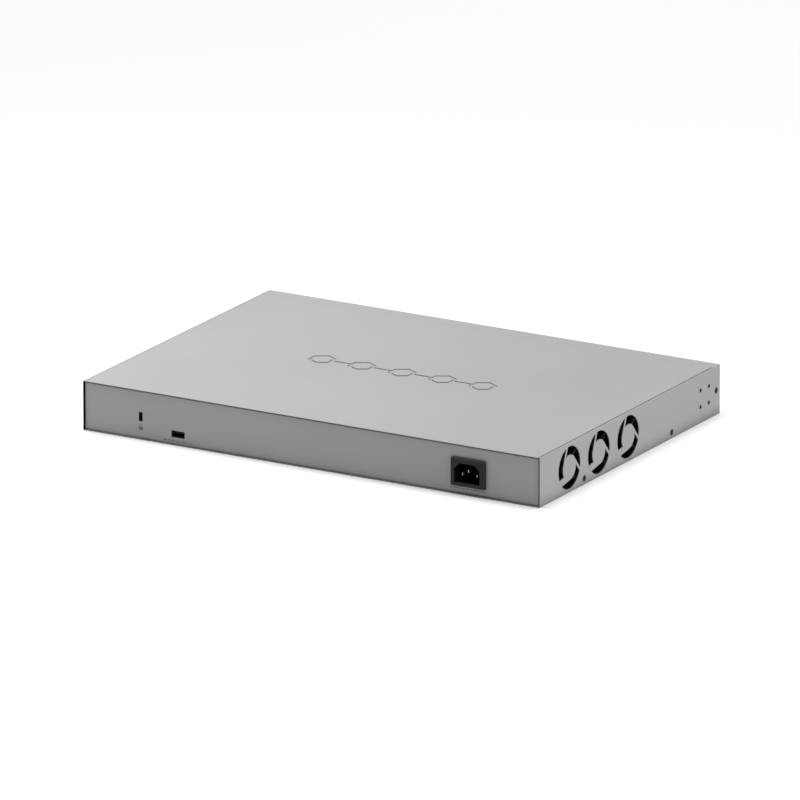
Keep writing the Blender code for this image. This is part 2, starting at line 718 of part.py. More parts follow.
def fan_bracket(steel):
    """Angle that holds the three fans from inside, with a notch for each fan's wires."""
    half = FAN_SIZE / 2
    rear, front = fan_y(0) + half, fan_y(FAN_COUNT - 1) - half
    low, face = SHEET + GAP, FAN_INNER + GAP
    bracket = box("fan_bracket", (face, front, low), (BRACKET_IN, rear, MIDDLE_Z + half - 2 * MM), steel)
    foot = box("bracket_foot", (face + SHEET / 2, front, low), (BRACKET_IN + 8 * MM, rear, low + SHEET))
    unite(bracket, foot)
    start, end = face - SHEET, BRACKET_IN + SHEET
    bores, notches = [], []
    for i in range(FAN_COUNT):
        bores.append(((start, fan_y(i), MIDDLE_Z), (end, fan_y(i), MIDDLE_Z), FAN_BORE_R, FAN_BORE_R))
        y = fan_lead_y(i)
        notches.append(((start, y - 2 * MM, low + 1.5 * SHEET), (end, y + 2 * MM, LEAD_EXIT_Z + 2 * MM)))
    return cut(bracket, rounds("bracket_bore_cutter", bores, 36), boxes("bracket_notch_cutter", notches))


def fan_lead_y(index):
    return fan_y(index) - FAN_SIZE / 2 + 4 * MM


def fan_leads(sleeve, resin):
    """Sleeved fan wires along the floor, up through the board's notch to its header."""
    channel = BRACKET_IN + 2 * MM
    spacing = 2.4 * MM
    low = SHEET + GAP + SHEET + GAP + LEAD_R
    edge = board_notch_y()
    plug_z = SEAT + 3.6 * MM
    for index in range(FAN_COUNT):
        x = channel + (FAN_COUNT - 1 - index) * spacing
        start_y = fan_lead_y(index)
        points = [
            (FAN_INNER + GAP, start_y, LEAD_EXIT_Z),
            (FAN_INNER + GAP + MM, start_y, LEAD_EXIT_Z),
            (BRACKET_IN + 1.2 * MM, start_y, LEAD_EXIT_Z),
        ]
        if index < FAN_COUNT - 1:
            points += [(x, start_y - 4 * MM, 6 * MM), (x, start_y - 9 * MM, low), (x, edge + 14 * MM, low)]
        else:
            points += [(x, start_y - 5 * MM, 7 * MM)]
        points += [
            (x, edge + 8 * MM, low + 0.6 * MM),
            (x, edge + 3.5 * MM, low + 3 * MM),
            (x, edge - 0.5 * MM, plug_z - 0.6 * MM),
            (x, edge - 3.4 * MM, plug_z),
        ]
        lead(f"fan_lead_{index + 1}", points, LEAD_R, sleeve, steps=3)
    low_x, high_x = channel - 1.9 * MM, channel + (FAN_COUNT - 1) * spacing + 1.9 * MM
    front = edge - 3.4 * MM - GAP
    box("fan_header", (low_x, front - 6 * MM, SEAT), (high_x, front, SEAT + 6 * MM), resin)


# ---------------------------------------------------------------- boards and what they carry
def board_notch_y():
    """Front edge of the corner cut away beside the last fan."""
    return fan_y(FAN_COUNT - 1) - FAN_SIZE / 2 - 14 * MM


def main_board(laminate):
    """L-shaped board along the front and up to the rear USB socket."""
    left, right = FAN_INNER + BOARD_MARGIN, WALL_IN - SCREW_LONG - MM
    front, back, step = FRONT + 3.5 * MM, REAR - 4 * MM, 14 * MM
    rear_part = (right, back), (MAINS_SIDE, back), (MAINS_SIDE, step)
    outline = ((left, front), (right, front), *rear_part, (left, step))
    bm = bmesh.new()
    face = bm.faces.new([bm.verts.new((x, y, BOARD_LOW)) for x, y in outline])
    made = bmesh.ops.extrude_face_region(bm, geom=[face])
    moved = [v for v in made["geom"] if isinstance(v, bmesh.types.BMVert)]
    bmesh.ops.translate(bm, verts=moved, vec=(0, 0, BOARD))
    # Fan 3 reaches forward past the step, so the corner beside it is cut away.
    notch_x = BRACKET_IN + 11 * MM
    notch = box("board_notch", (left - MM, board_notch_y(), 0), (notch_x, step + MM, HEIGHT))
    return cut(object_of("main_board", bm, laminate), notch)


def finned(name, low, high, base, fins, fin, material):
    """A heat sink: a base plate with upright fins along Y."""
    body = box(name, low, (high[0], high[1], low[2] + base), material)
    pitch = (high[0] - low[0] - fin) / (fins - 1)
    plates = []
    for i in range(fins):
        x = low[0] + i * pitch
        plates.append(((x, low[1], low[2] + base / 2), (x + fin, high[1], high[2])))
    return unite(body, boxes(f"{name}_fins", plates))


def main_board_parts(chip_black, alloy):
    chip_x, chip_y, chip_half, chip_thick = 60 * MM, -20 * MM, 15.5 * MM, 2.4 * MM
    chip_low = (chip_x - chip_half, chip_y - chip_half, SEAT)
    box("switch_chip", chip_low, (chip_x + chip_half, chip_y + chip_half, SEAT + chip_thick), chip_black)
    sink_half = 30 * MM
    sink_low = SEAT + chip_thick + GAP
    finned(
        "switch_heatsink",
        (chip_x - sink_half, chip_y - sink_half, sink_low),
        (chip_x + sink_half, chip_y + sink_half, sink_low + 20 * MM),
        3 * MM, 9, 1.2 * MM, alloy,
    )
    back_of_jacks = SHIELD_FRONT + 2 * SHIELD + 2 * GAP + JACK_DEEP
    finned(
        "port_heatsink",
        (block_x(0) - 20 * MM, back_of_jacks + 10 * MM, SEAT),
        (block_x(1) + 20 * MM, back_of_jacks + 32 * MM, SEAT + 15 * MM),
        4 * MM, 9, 1.6 * MM, alloy,
    )


def jack_housing(index, plastic):
    """Stacked jack: two rows of keyed mouths, the latch notches facing away from each other."""
    half, low, high = jack_box()
    near = SHIELD_FRONT + SHIELD + GAP
    x = block_x(index)
    corners = (x - half, near, low), (x + half, near + JACK_DEEP, high)
    housing = box(f"jack_housing_{index + 1}", *corners, plastic)
    outlines = []
    for mouth_x, z0, z1, way in jack_mouths(index):
        w, n = JACK_MOUTH_W / 2, JACK_NOTCH_W / 2
        flat, keyed = (z0, z1) if way > 0 else (z1, z0)
        tip = keyed + way * JACK_NOTCH_H
        shape = [(-w, flat), (w, flat), (w, keyed), (n, keyed)]
        shape += [(n, tip), (-n, tip), (-n, keyed), (-w, keyed)]
        outlines.append([(mouth_x + a, b) for a, b in shape])
    return cut(housing, prisms(f"jack_mouth_cutter_{index}", outlines, near - MM, near + JACK_CAVITY))


def jack_shield(index, metal):
    """Tinned shell round a jack housing, open below, with a window for each mouth."""
    half, low, high = jack_box()
    x, inner_half, inner_top = block_x(index), half + GAP, high + GAP
    near = SHIELD_FRONT
    far = near + SHIELD + 2 * GAP + JACK_DEEP
    outer_half = inner_half + SHIELD
    corners = (x - outer_half, near, low), (x + outer_half, far + SHIELD, inner_top + SHIELD)
    shell = box(f"jack_shield_{index + 1}", *corners, metal)
    corners = (x - inner_half, near + SHIELD, low - MM), (x + inner_half, far, inner_top)
    room = box(f"jack_room_{index}", *corners)
    windows = []
    margin_w, margin_h = 0.3 * MM, 0.3 * MM
    for mouth_x, z0, z1, way in jack_mouths(index):
        w = JACK_MOUTH_W / 2 + margin_w
        bottom = z0 - margin_h if way > 0 else z0 - JACK_NOTCH_H - margin_h
        top = z1 + JACK_NOTCH_H + margin_h if way > 0 else z1 + margin_h
        windows.append(((mouth_x - w, near - MM, bottom), (mouth_x + w, near + SHIELD + GAP / 2, top)))
    return cut(shell, room, boxes(f"jack_window_cutter_{index}", windows))


def sfp_cage(metal, plastic):
    """Two-by-two pressed cage, and the stacked connector that closes its back."""
    wide, high = cage_size()
    near = SHIELD_FRONT
    far = near + CAGE_DEEP
    cage = box("sfp_cage", (CAGE_X - wide / 2, near, SEAT), (CAGE_X + wide / 2, far, SEAT + high), metal)
    mouths = cage_mouths()
    tunnels = [((a, near - MM, b), (c, far + MM, d)) for (a, b), (c, d) in mouths]
    cut(cage, boxes("cage_mouth_cutter", tunnels))
    block = (CAGE_X - wide / 2, far + GAP, SEAT), (CAGE_X + wide / 2, far + 8 * MM, SEAT + high)
    connector = box("sfp_connector", *block, plastic)
    noses = []
    for (a, b), (c, d) in mouths:
        side, level = 1.6 * MM, 2.4 * MM
        noses.append(((a + side, far - CAGE_PLUG_DEEP, b + level), (c - side, far + MM, d - level)))
    unite(connector, boxes("connector_noses", noses))


def light_pipe(clear):
    """One moulding: a bar behind the panel with a prong into each indicator hole."""
    xs = light_xs()
    back = FRONT + SHEET + GAP
    margin = 2 * MM
    low, high = (xs[0] - margin, back, LIGHT_Z - margin), (xs[-1] + margin, back + 4 * MM, LIGHT_Z + margin)
    bar = box("light_pipe", low, high, clear)
    w, h = LIGHT_W / 2, LIGHT_H / 2
    prongs = [((x - w, FRONT - 0.2 * MM, LIGHT_Z - h), (x + w, back + MM, LIGHT_Z + h)) for x in xs]
    return unite(bar, boxes("light_prongs", prongs))


def push_button(name, x, radius, face, stop_face, flange_r, material):
    """A plunger with a collar behind the panel that keeps it in. It slides along Y."""
    collar = FRONT + SHEET + GAP
    profile = (
        (face, 0),
        (face, radius - GAP),
        (face + GAP, radius),
        (collar, radius),
        (collar, flange_r),
        (collar + MM, flange_r),
        (collar + MM, RESET_R),
        (stop_face, RESET_R),
        (stop_face, 0),
    )
    button = lathe(name, [(y, r) for y, r in profile], (x, 0, BUTTON_Z), 16, material)
    button.rotation_euler = (0, 0, math.pi / 2)
    return button


def buttons(grey, black):
    """The mode button stands out of the panel; the reset button is reached through its hole."""
    contact = FRONT + SHEET + 8 * MM
    clear = BUTTON_TRAVEL + GAP
    stop, proud, sunk = contact - clear, FRONT - MODE_PROUD, FRONT + 0.4 * MM
    push_button("led_mode_button", MODE_X, MODE_R, proud, stop, MODE_R + 0.8 * MM, grey)
    push_button("reset_button", RESET_X, RESET_R, sunk, stop, RESET_R + 0.7 * MM, black)
    half = 3 * MM
    for name, x in (("led_mode_switch", MODE_X), ("reset_switch", RESET_X)):
        box(name, (x - half, contact, SEAT), (x + half, contact + 5 * MM, SEAT + 8 * MM), black)


def usb_socket(metal, plastic):
    """Receptacle shell just behind the rear panel, with its contact tongue."""
    back = REAR - SHEET - GAP
    low, high = SEAT, SEAT + USB_H
    half = USB_W / 2
    shell = box("usb_shell", (USB_X - half, back - USB_DEEP, low), (USB_X + half, back, high), metal)
    inner = half - USB_WALL
    room = (USB_X - inner, back - USB_DEEP - MM, low + USB_WALL), (USB_X + inner, back + MM, high - USB_WALL)
    cut(shell, box("usb_room", *room))
    block_half, block_clear = inner - GAP, USB_WALL + GAP
    block_low = (USB_X - block_half, back - USB_DEEP, low + block_clear)
    block_high = (USB_X + block_half, back - USB_DEEP + 3 * MM, high - block_clear)
    tongue = box("usb_tongue", block_low, block_high, plastic)
    tongue_top = high - block_clear - 0.5 * MM
    tip = REAR - USB_TONGUE_SET_BACK
    blade_low = (USB_X - USB_TONGUE_W / 2, back - USB_DEEP + MM, tongue_top - USB_TONGUE)
    unite(tongue, box("usb_blade", blade_low, (USB_X + USB_TONGUE_W / 2, tip, tongue_top)))


def lock_plate(steel):
    """Doubler behind the lock slot."""
    back = REAR - SHEET - GAP
    half_w, half_h = 9 * MM, 8 * MM
    low = (LOCK_X - half_w, back - LOCK_PLATE, LOCK_Z - half_h)
    plate = box("lock_plate", low, (LOCK_X + half_w, back, LOCK_Z + half_h), steel)
    slot_low = (LOCK_X - LOCK_W / 2, back - SHEET * 2, LOCK_Z - LOCK_H / 2)
    return cut(plate, box("lock_slot", slot_low, (LOCK_X + LOCK_W / 2, REAR, LOCK_Z + LOCK_H / 2)))


# ---------------------------------------------------------------- mains inlet and supply
def recess_outline(x, z, half_w, half_h, chamfer):
    """The keyed outline of the socket: its two upper corners are cut off."""
    return [
        (x - half_w, z - half_h),
        (x + half_w, z - half_h),
        (x + half_w, z + half_h - chamfer),
        (x + half_w - chamfer, z + half_h),
        (x - half_w + chamfer, z + half_h),
        (x - half_w, z + half_h - chamfer),
    ]


def inlet_pins():
    """(name, x, z, outer end) of the three blades."""
    tip = REAR + GAP + BEZEL - PIN_BELOW_RIM
    return (
        ("inlet_pin_line", SOCKET_X - PIN_SPREAD, INLET_Z - PIN_DROP, tip),
        ("inlet_pin_neutral", SOCKET_X + PIN_SPREAD, INLET_Z - PIN_DROP, tip),
        ("inlet_pin_earth", SOCKET_X, INLET_Z + EARTH_RISE, tip + EARTH_LEAD),
    )


def inlet(plastic, plated):
    """Snap-in mains inlet: chamfered bezel outside, socket body inside, three blades."""
    face = REAR + GAP + BEZEL
    half_w, half_h = BEZEL_W / 2, BEZEL_H / 2
    bezel_low = (INLET_X - half_w, REAR + GAP, INLET_Z - half_h)
    housing = box("inlet_housing", bezel_low, (INLET_X + half_w, face, INLET_Z + half_h), plastic)
    bevel = housing.modifiers.new("rim", "BEVEL")
    bevel.width = BEZEL_CHAMFER
    bevel.segments = 1
    bevel.limit_method = "ANGLE"
    body_w, body_h = INLET_BODY_W / 2, INLET_BODY_H / 2
    body_low = (INLET_X - body_w, REAR - INLET_DEEP, INLET_Z - body_h)
    body = box("inlet_body", body_low, (INLET_X + body_w, face - BEZEL / 2, INLET_Z + body_h))
    unite(housing, body)
    outline = recess_outline(SOCKET_X, INLET_Z - RECESS_DROP, RECESS_W / 2, RECESS_H / 2, RECESS_CHAMFER)
    cut(housing, prisms("recess_cutter", [outline], face - RECESS_DEEP, face + MM))
    blades = inlet_pins()
    clear_w, clear_h = PIN_W / 2 + GAP, PIN_H / 2 + GAP
    back, front = REAR - INLET_DEEP - MM, face - RECESS_DEEP + MM
    slots = [((x - clear_w, back, z - clear_h), (x + clear_w, front, z + clear_h)) for _, x, z, _ in blades]
    cut(housing, boxes("pin_slot_cutter", slots))
    for name, x, z, tip in blades:
        low = (x - PIN_W / 2, REAR - INLET_DEEP - PIN_TAIL, z - PIN_H / 2)
        box(name, low, (x + PIN_W / 2, tip, z + PIN_H / 2), plated)


def supply(laminate, sheet, core, winding, sleeve, alloy):
    """The mains supply: insulator, board, and the large parts that stand on it."""
    (x0, y0), (x1, y1) = supply_board()
    box("supply_board", (x0, y0, BOARD_LOW), (x1, y1, BOARD_TOP), laminate)
    inset = 2 * STANDOFF_R + 3 * MM
    box("insulator_sheet", (x0 + inset, y0, SHEET + GAP), (x1 - inset, y1, SHEET + GAP + 0.5 * MM), sheet)
    middle_x, middle_y = (x0 + x1) / 2, (y0 + y1) / 2
    core_w, core_d, core_h = 17 * MM, 15 * MM, 26 * MM
    coil = 3 * MM
    low = (middle_x - core_w, middle_y - core_d, SEAT)
    transformer = box("supply_transformer", low, (middle_x + core_w, middle_y + core_d, SEAT + core_h), core)
    coil_low = (middle_x - core_w + 6 * MM, middle_y - core_d - coil, SEAT + coil)
    coil_high = (middle_x + core_w - 6 * MM, middle_y + core_d + coil, SEAT + core_h - coil)
    unite(transformer, box("transformer_coil", coil_low, coil_high))
    sink_h = 26 * MM
    for name, x in (("primary_heatsink", middle_x - 34 * MM), ("output_heatsink", middle_x + 32 * MM)):
        low, high = (x - 6 * MM, middle_y - 26 * MM, SEAT), (x + 6 * MM, middle_y + 26 * MM, SEAT + sink_h)
        plate = box(name, (x - MM, low[1], SEAT), (x + MM, high[1], high[2]), alloy)
        levels = 4
        wings = []
        for level in range(levels):
            z = high[2] - level * 5 * MM - MM
            wings.append(((low[0], low[1], z), (high[0], high[1], z + MM)))
        unite(plate, boxes(f"{name}_wings", wings))
    can_r, can_h = 9 * MM, 30 * MM
    can = ((0, 0), (0, can_r - MM), (MM, can_r), (can_h - MM, can_r), (can_h, can_r - MM), (can_h, 0))
    for number, x in enumerate((middle_x - 14 * MM, middle_x + 8 * MM)):
        made = lathe(f"bulk_capacitor_{number + 1}", can, (x, y0 + 12 * MM, SEAT), 18, sleeve)
        made.rotation_euler = (0, -math.pi / 2, 0)
    bm = bmesh.new()
    ring_r, wire_r = 7 * MM, 3.2 * MM
    upright = Matrix.Rotation(math.pi / 2, 4, "X")
    circle = bmesh.ops.create_circle(bm, segments=8, radius=wire_r, matrix=upright)
    bmesh.ops.translate(bm, verts=circle["verts"], vec=(ring_r, 0, 0))
    ring = bm.verts[:] + bm.edges[:]
    turn = {"cent": (0, 0, 0), "axis": (0, 0, 1), "angle": math.tau, "steps": 16}
    bmesh.ops.spin(bm, geom=ring, use_merge=True, **turn)
    bmesh.ops.remove_doubles(bm, verts=bm.verts, dist=1e-6)
    choke = object_of("line_choke", bm, winding)
    choke.location = (INLET_X + 20 * MM, y1 - 14 * MM, SEAT + wire_r)


def supply_leads(brown, blue, green, black):
    """Mains wires from the blades' tails to the board and the case, and the low-voltage harness."""
    (_, _), (x1, y1) = supply_board()
    tail = REAR - INLET_DEEP - PIN_TAIL - GAP
    radius = 1.1 * MM
    names = ("mains_lead_line", "mains_lead_neutral")
    for (_, x, z, _), name, colour in zip(inlet_pins(), names, (brown, blue)):
        end = (x, y1 - 6 * MM, SEAT)
        points = [(x, tail, z), (x, tail - 3 * MM, z - 0.6 * MM), (x, y1 - 5.2 * MM, SEAT + 5 * MM), end]
        lead(name, points, radius, colour)
    _, x, z, _ = inlet_pins()[2]
    points = [
        (x, tail, z),
        (x, tail - 2 * MM, z),
        (x + 4 * MM, tail - 4 * MM, z + 0.5 * MM),
        (x + 14 * MM, tail - 2 * MM, z - 2 * MM),
        (x + 21 * MM, tail + 5 * MM, z - 10 * MM),
        (x + 23 * MM, tail + 9 * MM, SHEET + 4 * MM),
        (x + 23 * MM, tail + 9 * MM, SHEET + GAP),
    ]
    lead("earth_lead", points, radius, green)
    y = 60 * MM
    points = [
        (x1 - 8 * MM, y, SEAT),
        (x1 - 7 * MM, y, SEAT + 6 * MM),
        (x1 + 3 * MM, y, SEAT + 9 * MM),
        (MAINS_SIDE + 7 * MM, y, SEAT + 6 * MM),
        (MAINS_SIDE + 8 * MM, y, SEAT),
    ]
    lead("output_harness", points, 2.2 * MM, black)


# ---------------------------------------------------------------- the whole switch
def build():
    clear_scene()
    paint = finish("grey powder coat", (0.42, 0.42, 0.42), 0.5, 0.0)
    steel = finish("zinc-plated steel", (0.5, 0.5, 0.5), 0.45, 0.9)
    tinned = finish("tinned shell", (0.7, 0.7, 0.7), 0.3, 1.0)
    alloy = finish("bare aluminium", (0.75, 0.75, 0.76), 0.4, 1.0)
    black = finish("black plastic", (0.02, 0.02, 0.02), 0.45, 0.0)
    screw_black = finish("black oxide", (0.03, 0.03, 0.03), 0.4, 0.6)
    laminate = finish("green laminate", (0.02, 0.16, 0.08), 0.4, 0.0)
    clear = finish("clear light guide", (0.85, 0.87, 0.88), 0.2, 0.0)
    plated = finish("nickel-plated brass", (0.72, 0.70, 0.64), 0.25, 1.0)
    copper = finish("enamelled copper", (0.45, 0.18, 0.06), 0.35, 0.6)
    ferrite = finish("ferrite", (0.05, 0.05, 0.055), 0.6, 0.0)
    film = finish("insulating film", (0.75, 0.72, 0.55), 0.5, 0.0)
    brown = finish("brown insulation", (0.16, 0.06, 0.03), 0.4, 0.0)
    blue = finish("blue insulation", (0.03, 0.10, 0.35), 0.4, 0.0)
    green = finish("green insulation", (0.05, 0.25, 0.06), 0.4, 0.0)
    grey = finish("grey button", (0.25, 0.25, 0.25), 0.45, 0.0)

    top_cover(paint)
    chassis_base(paint)
    front_panel(paint)
    rear_panel(paint)
    fan_bracket(steel)
    cover_screws(screw_black)
    lock_plate(steel)
    for index in range(FAN_COUNT):
        fan_frame(index, black)
        fan_motor(index, copper)
        fan_rotor(index, black)
    fan_leads(black, black)
    main_board(laminate)
    main_board_parts(ferrite, alloy)
    for index in range(JACK_BLOCKS):
        jack_housing(index, black)
        jack_shield(index, tinned)
    sfp_cage(tinned, black)
    light_pipe(clear)
    buttons(grey, black)
    usb_socket(tinned, black)
    inlet(black, plated)
    supply(laminate, film, ferrite, copper, black, alloy)
    supply_leads(brown, blue, green, black)


build()
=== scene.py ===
import math
import random

import bmesh
import bpy
from mathutils import Matrix, Vector


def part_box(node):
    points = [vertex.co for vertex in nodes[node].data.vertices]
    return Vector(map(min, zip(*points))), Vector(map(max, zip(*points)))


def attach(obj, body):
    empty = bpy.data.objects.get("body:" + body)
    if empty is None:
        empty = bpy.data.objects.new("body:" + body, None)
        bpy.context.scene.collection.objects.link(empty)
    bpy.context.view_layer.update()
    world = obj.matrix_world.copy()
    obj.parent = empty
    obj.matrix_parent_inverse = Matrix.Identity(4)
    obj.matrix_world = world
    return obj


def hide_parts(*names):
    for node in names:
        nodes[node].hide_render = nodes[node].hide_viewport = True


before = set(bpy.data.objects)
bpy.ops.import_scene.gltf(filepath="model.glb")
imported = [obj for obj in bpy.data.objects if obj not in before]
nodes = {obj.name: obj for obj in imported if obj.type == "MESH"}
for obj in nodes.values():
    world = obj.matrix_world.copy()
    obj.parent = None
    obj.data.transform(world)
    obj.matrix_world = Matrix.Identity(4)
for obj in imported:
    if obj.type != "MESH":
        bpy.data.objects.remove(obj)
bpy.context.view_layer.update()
MM = 0.001

# ------------------------------------------------------------------ camera, floor and studio light
# A long lens on a stand behind the inlet corner, a seamless pale floor, a broad overhead light
# and soft boxes on the fan side and over the far rear corner.
target = Vector((-0.00046, 0.00435, 0.0200))
turn, rise, distance = math.radians(209.94), math.radians(17.0), 12.399
back = Vector((math.sin(turn) * math.cos(rise), -math.cos(turn) * math.cos(rise), math.sin(rise)))
bpy.ops.object.camera_add(location=target + back * distance)
camera = bpy.context.object
camera.rotation_euler = (-back).to_track_quat("-Z", "Y").to_euler()
camera.data.lens = 663.5
camera.data.sensor_width = 36
camera.data.clip_end = 100
bpy.context.scene.camera = camera
bpy.context.scene.view_settings.view_transform = "Standard"


def material(name, roughness=0.5, metallic=0.0, colour=None):
    """A new material: its name's own Principled shader, ready for more nodes."""
    made = bpy.data.materials.new(name)
    made.use_nodes = True
    shader = made.node_tree.nodes["Principled BSDF"]
    shader.inputs["Roughness"].default_value = roughness
    shader.inputs["Metallic"].default_value = metallic
    if colour:
        shader.inputs["Base Color"].default_value = (*colour, 1)
    return made, shader


def feed(made, socket, value):
    """Sets a socket to a value, or links another node's output to it."""
    if isinstance(value, bpy.types.NodeSocket):
        made.node_tree.links.new(value, socket)
    else:
        socket.default_value = value


def node(made, kind, settings=None, **inputs):
    """One shader node; an input is a value or another node's output."""
    added = made.node_tree.nodes.new("ShaderNode" + kind)
    for key, value in (settings or {}).items():
        setattr(added, key, value)
    for key, value in inputs.items():
        feed(made, added.inputs[key.replace("_", " ")], value)
    return added


def ramp(made, factor, *stops):
    """A colour ramp through (position, colour) stops."""
    added = node(made, "ValToRGB", Fac=factor)
    marks = added.color_ramp.elements
    while len(marks) < len(stops):
        marks.new(0.5)
    for mark, (position, colour) in zip(marks, stops):
        mark.position = position
        mark.color = (*colour, 1)
    return added.outputs["Color"]


bpy.ops.mesh.primitive_plane_add(size=60)
floor = bpy.context.object
floor.name = "floor"
paper, shader = material("floor_paper", 0.9)
away = node(paper, "SeparateXYZ", Vector=node(paper, "TexCoord").outputs["Object"]).outputs["Y"]
far = node(paper, "MapRange", Value=away, From_Min=-0.6, From_Max=-1.2).outputs["Result"]
feed(paper, shader.inputs["Base Color"], ramp(paper, far, (0.0, (0.70,) * 3), (1.0, (0.74,) * 3)))
floor.data.materials.append(paper)

bpy.ops.object.light_add(type="SUN", location=(0, 0, 3))
overhead = bpy.context.object
overhead.rotation_euler = (math.radians(9), 0, 0)
overhead.data.energy = 3.64
overhead.data.angle = math.radians(40)


def soft_box(place, aim, size, energy):
    """A square studio light at place, turned to aim."""
    bpy.ops.object.light_add(type="AREA", location=place)
    lamp = bpy.context.object
    lamp.rotation_euler = (Vector(place) - Vector(aim)).to_track_quat("Z", "Y").to_euler()
    lamp.data.size = size
    lamp.data.energy = energy


soft_box((-2.6, 0.4, 1.0), (-0.2, 0, 0), 1.6, 37)
soft_box((0.46, 0.22, 0.75), (0.46, 0.22, 0), 0.4, 4.5)
world = bpy.data.worlds.new("studio")
world.use_nodes = True
world.node_tree.nodes["Background"].inputs["Color"].default_value = (1, 1, 1, 1)
world.node_tree.nodes["Background"].inputs["Strength"].default_value = 0.08
bpy.context.scene.world = world

# ------------------------------------------------------------------ painted case
# The floor and the side walls are one bent sheet, with a lid let in between the walls, a rear
# panel set in from their rims and a port panel under the front rail. All are pressed steel,
# powder-coated light grey.


def place_of(made, scale=(1, 1, 1), turned=(0, 0, 0)):
    """Object coordinates, stretched and turned for a pattern."""
    where = node(made, "TexCoord").outputs["Object"]
    return node(made, "Mapping", Vector=where, Scale=scale, Rotation=turned).outputs["Vector"]


def bump(made, shader, height, depth, strength=1.0):
    added = node(made, "Bump", Height=height, Distance=depth, Strength=strength)
    feed(made, shader.inputs["Normal"], added.outputs["Normal"])


def grained(
    name, low, high, roughness, metallic=0.0, grain=900, depth=0.02, stretch=(1, 1, 1), spread=0.06, sheen=0.5
):
    """Two close tones of one finish, with its fine grain in the height and in the gloss."""
    made, shader = material(name, roughness, metallic)
    shader.inputs["Specular IOR Level"].default_value = sheen
    where = place_of(made, stretch)
    broad = node(made, "TexNoise", Vector=where, Scale=grain / 30, Detail=4.0).outputs["Fac"]
    fine = node(made, "TexNoise", Vector=where, Scale=grain, Detail=3.0).outputs["Fac"]
    feed(made, shader.inputs["Base Color"], ramp(made, broad, (0.35, low), (0.65, high)))
    gloss = node(made, "MapRange", Value=fine, To_Min=roughness - spread, To_Max=roughness + spread)
    feed(made, shader.inputs["Roughness"], gloss.outputs["Result"])
    bump(made, shader, fine, depth * MM)
    return made


def refinish(names, made, soften=0.0, segments=2):
    """Gives CAD nodes a finish; soften rounds their sharp edges by that many millimetres."""
    for name in names:
        piece = nodes[name]
        piece.data.materials.clear()
        piece.data.materials.append(made)
        if soften:
            weld = piece.modifiers.new("weld", "WELD")
            weld.merge_threshold = 1e-6
            round_over = piece.modifiers.new("round_over", "BEVEL")
            round_over.width = soften * MM
            round_over.segments = segments
            round_over.limit_method = "ANGLE"
            round_over.angle_limit = math.radians(50)
            round_over.harden_normals = True
            round_over.use_clamp_overlap = True


case_low, case_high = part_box("chassis_base")
rim_y = case_high.y
sheet = 1.0 * MM
step = 0.03 * MM  # how softly one finish gives way to the next
rim_reach = 0.35 * MM  # how far the painted shade on a rear rim reaches in
# Near-black painted shade for the walls of holes and cut-outs, where shadow falls.
painted_edge_shade = (0.022, 0.022, 0.023, 1)


def above(made, value, limit):
    """1 where a value is over a limit."""
    return node(made, "MapRange", Value=value, From_Min=limit, From_Max=limit + step).outputs["Result"]


def below(made, value, limit):
    """1 where a value is under a limit."""
    return node(made, "MapRange", Value=value, From_Min=limit, From_Max=limit - step).outputs["Result"]


def reckon(made, operation, *values):
    """One sum on numbers or outputs."""
    sums = node(made, "Math", {"operation": operation})
    for socket, value in zip(sums.inputs, values):
        feed(made, socket, value)
    return sums.outputs[0]


def all_of(made, *masks):
    """1 where every mask is 1."""
    whole = masks[0]
    for mask in masks[1:]:
        whole = reckon(made, "MULTIPLY", whole, mask)
    return whole


def overlay(made, mask, under, over, blend="MIX"):
    """One colour over another by a mask."""
    mixed = node(made, "Mix", {"data_type": "RGBA", "blend_type": blend})
    factor, first_colour, second_colour = (mixed.inputs[place] for place in (0, 6, 7))
    for socket, value in ((factor, mask), (first_colour, under), (second_colour, over)):
        feed(made, socket, value)
    return mixed.outputs[2]


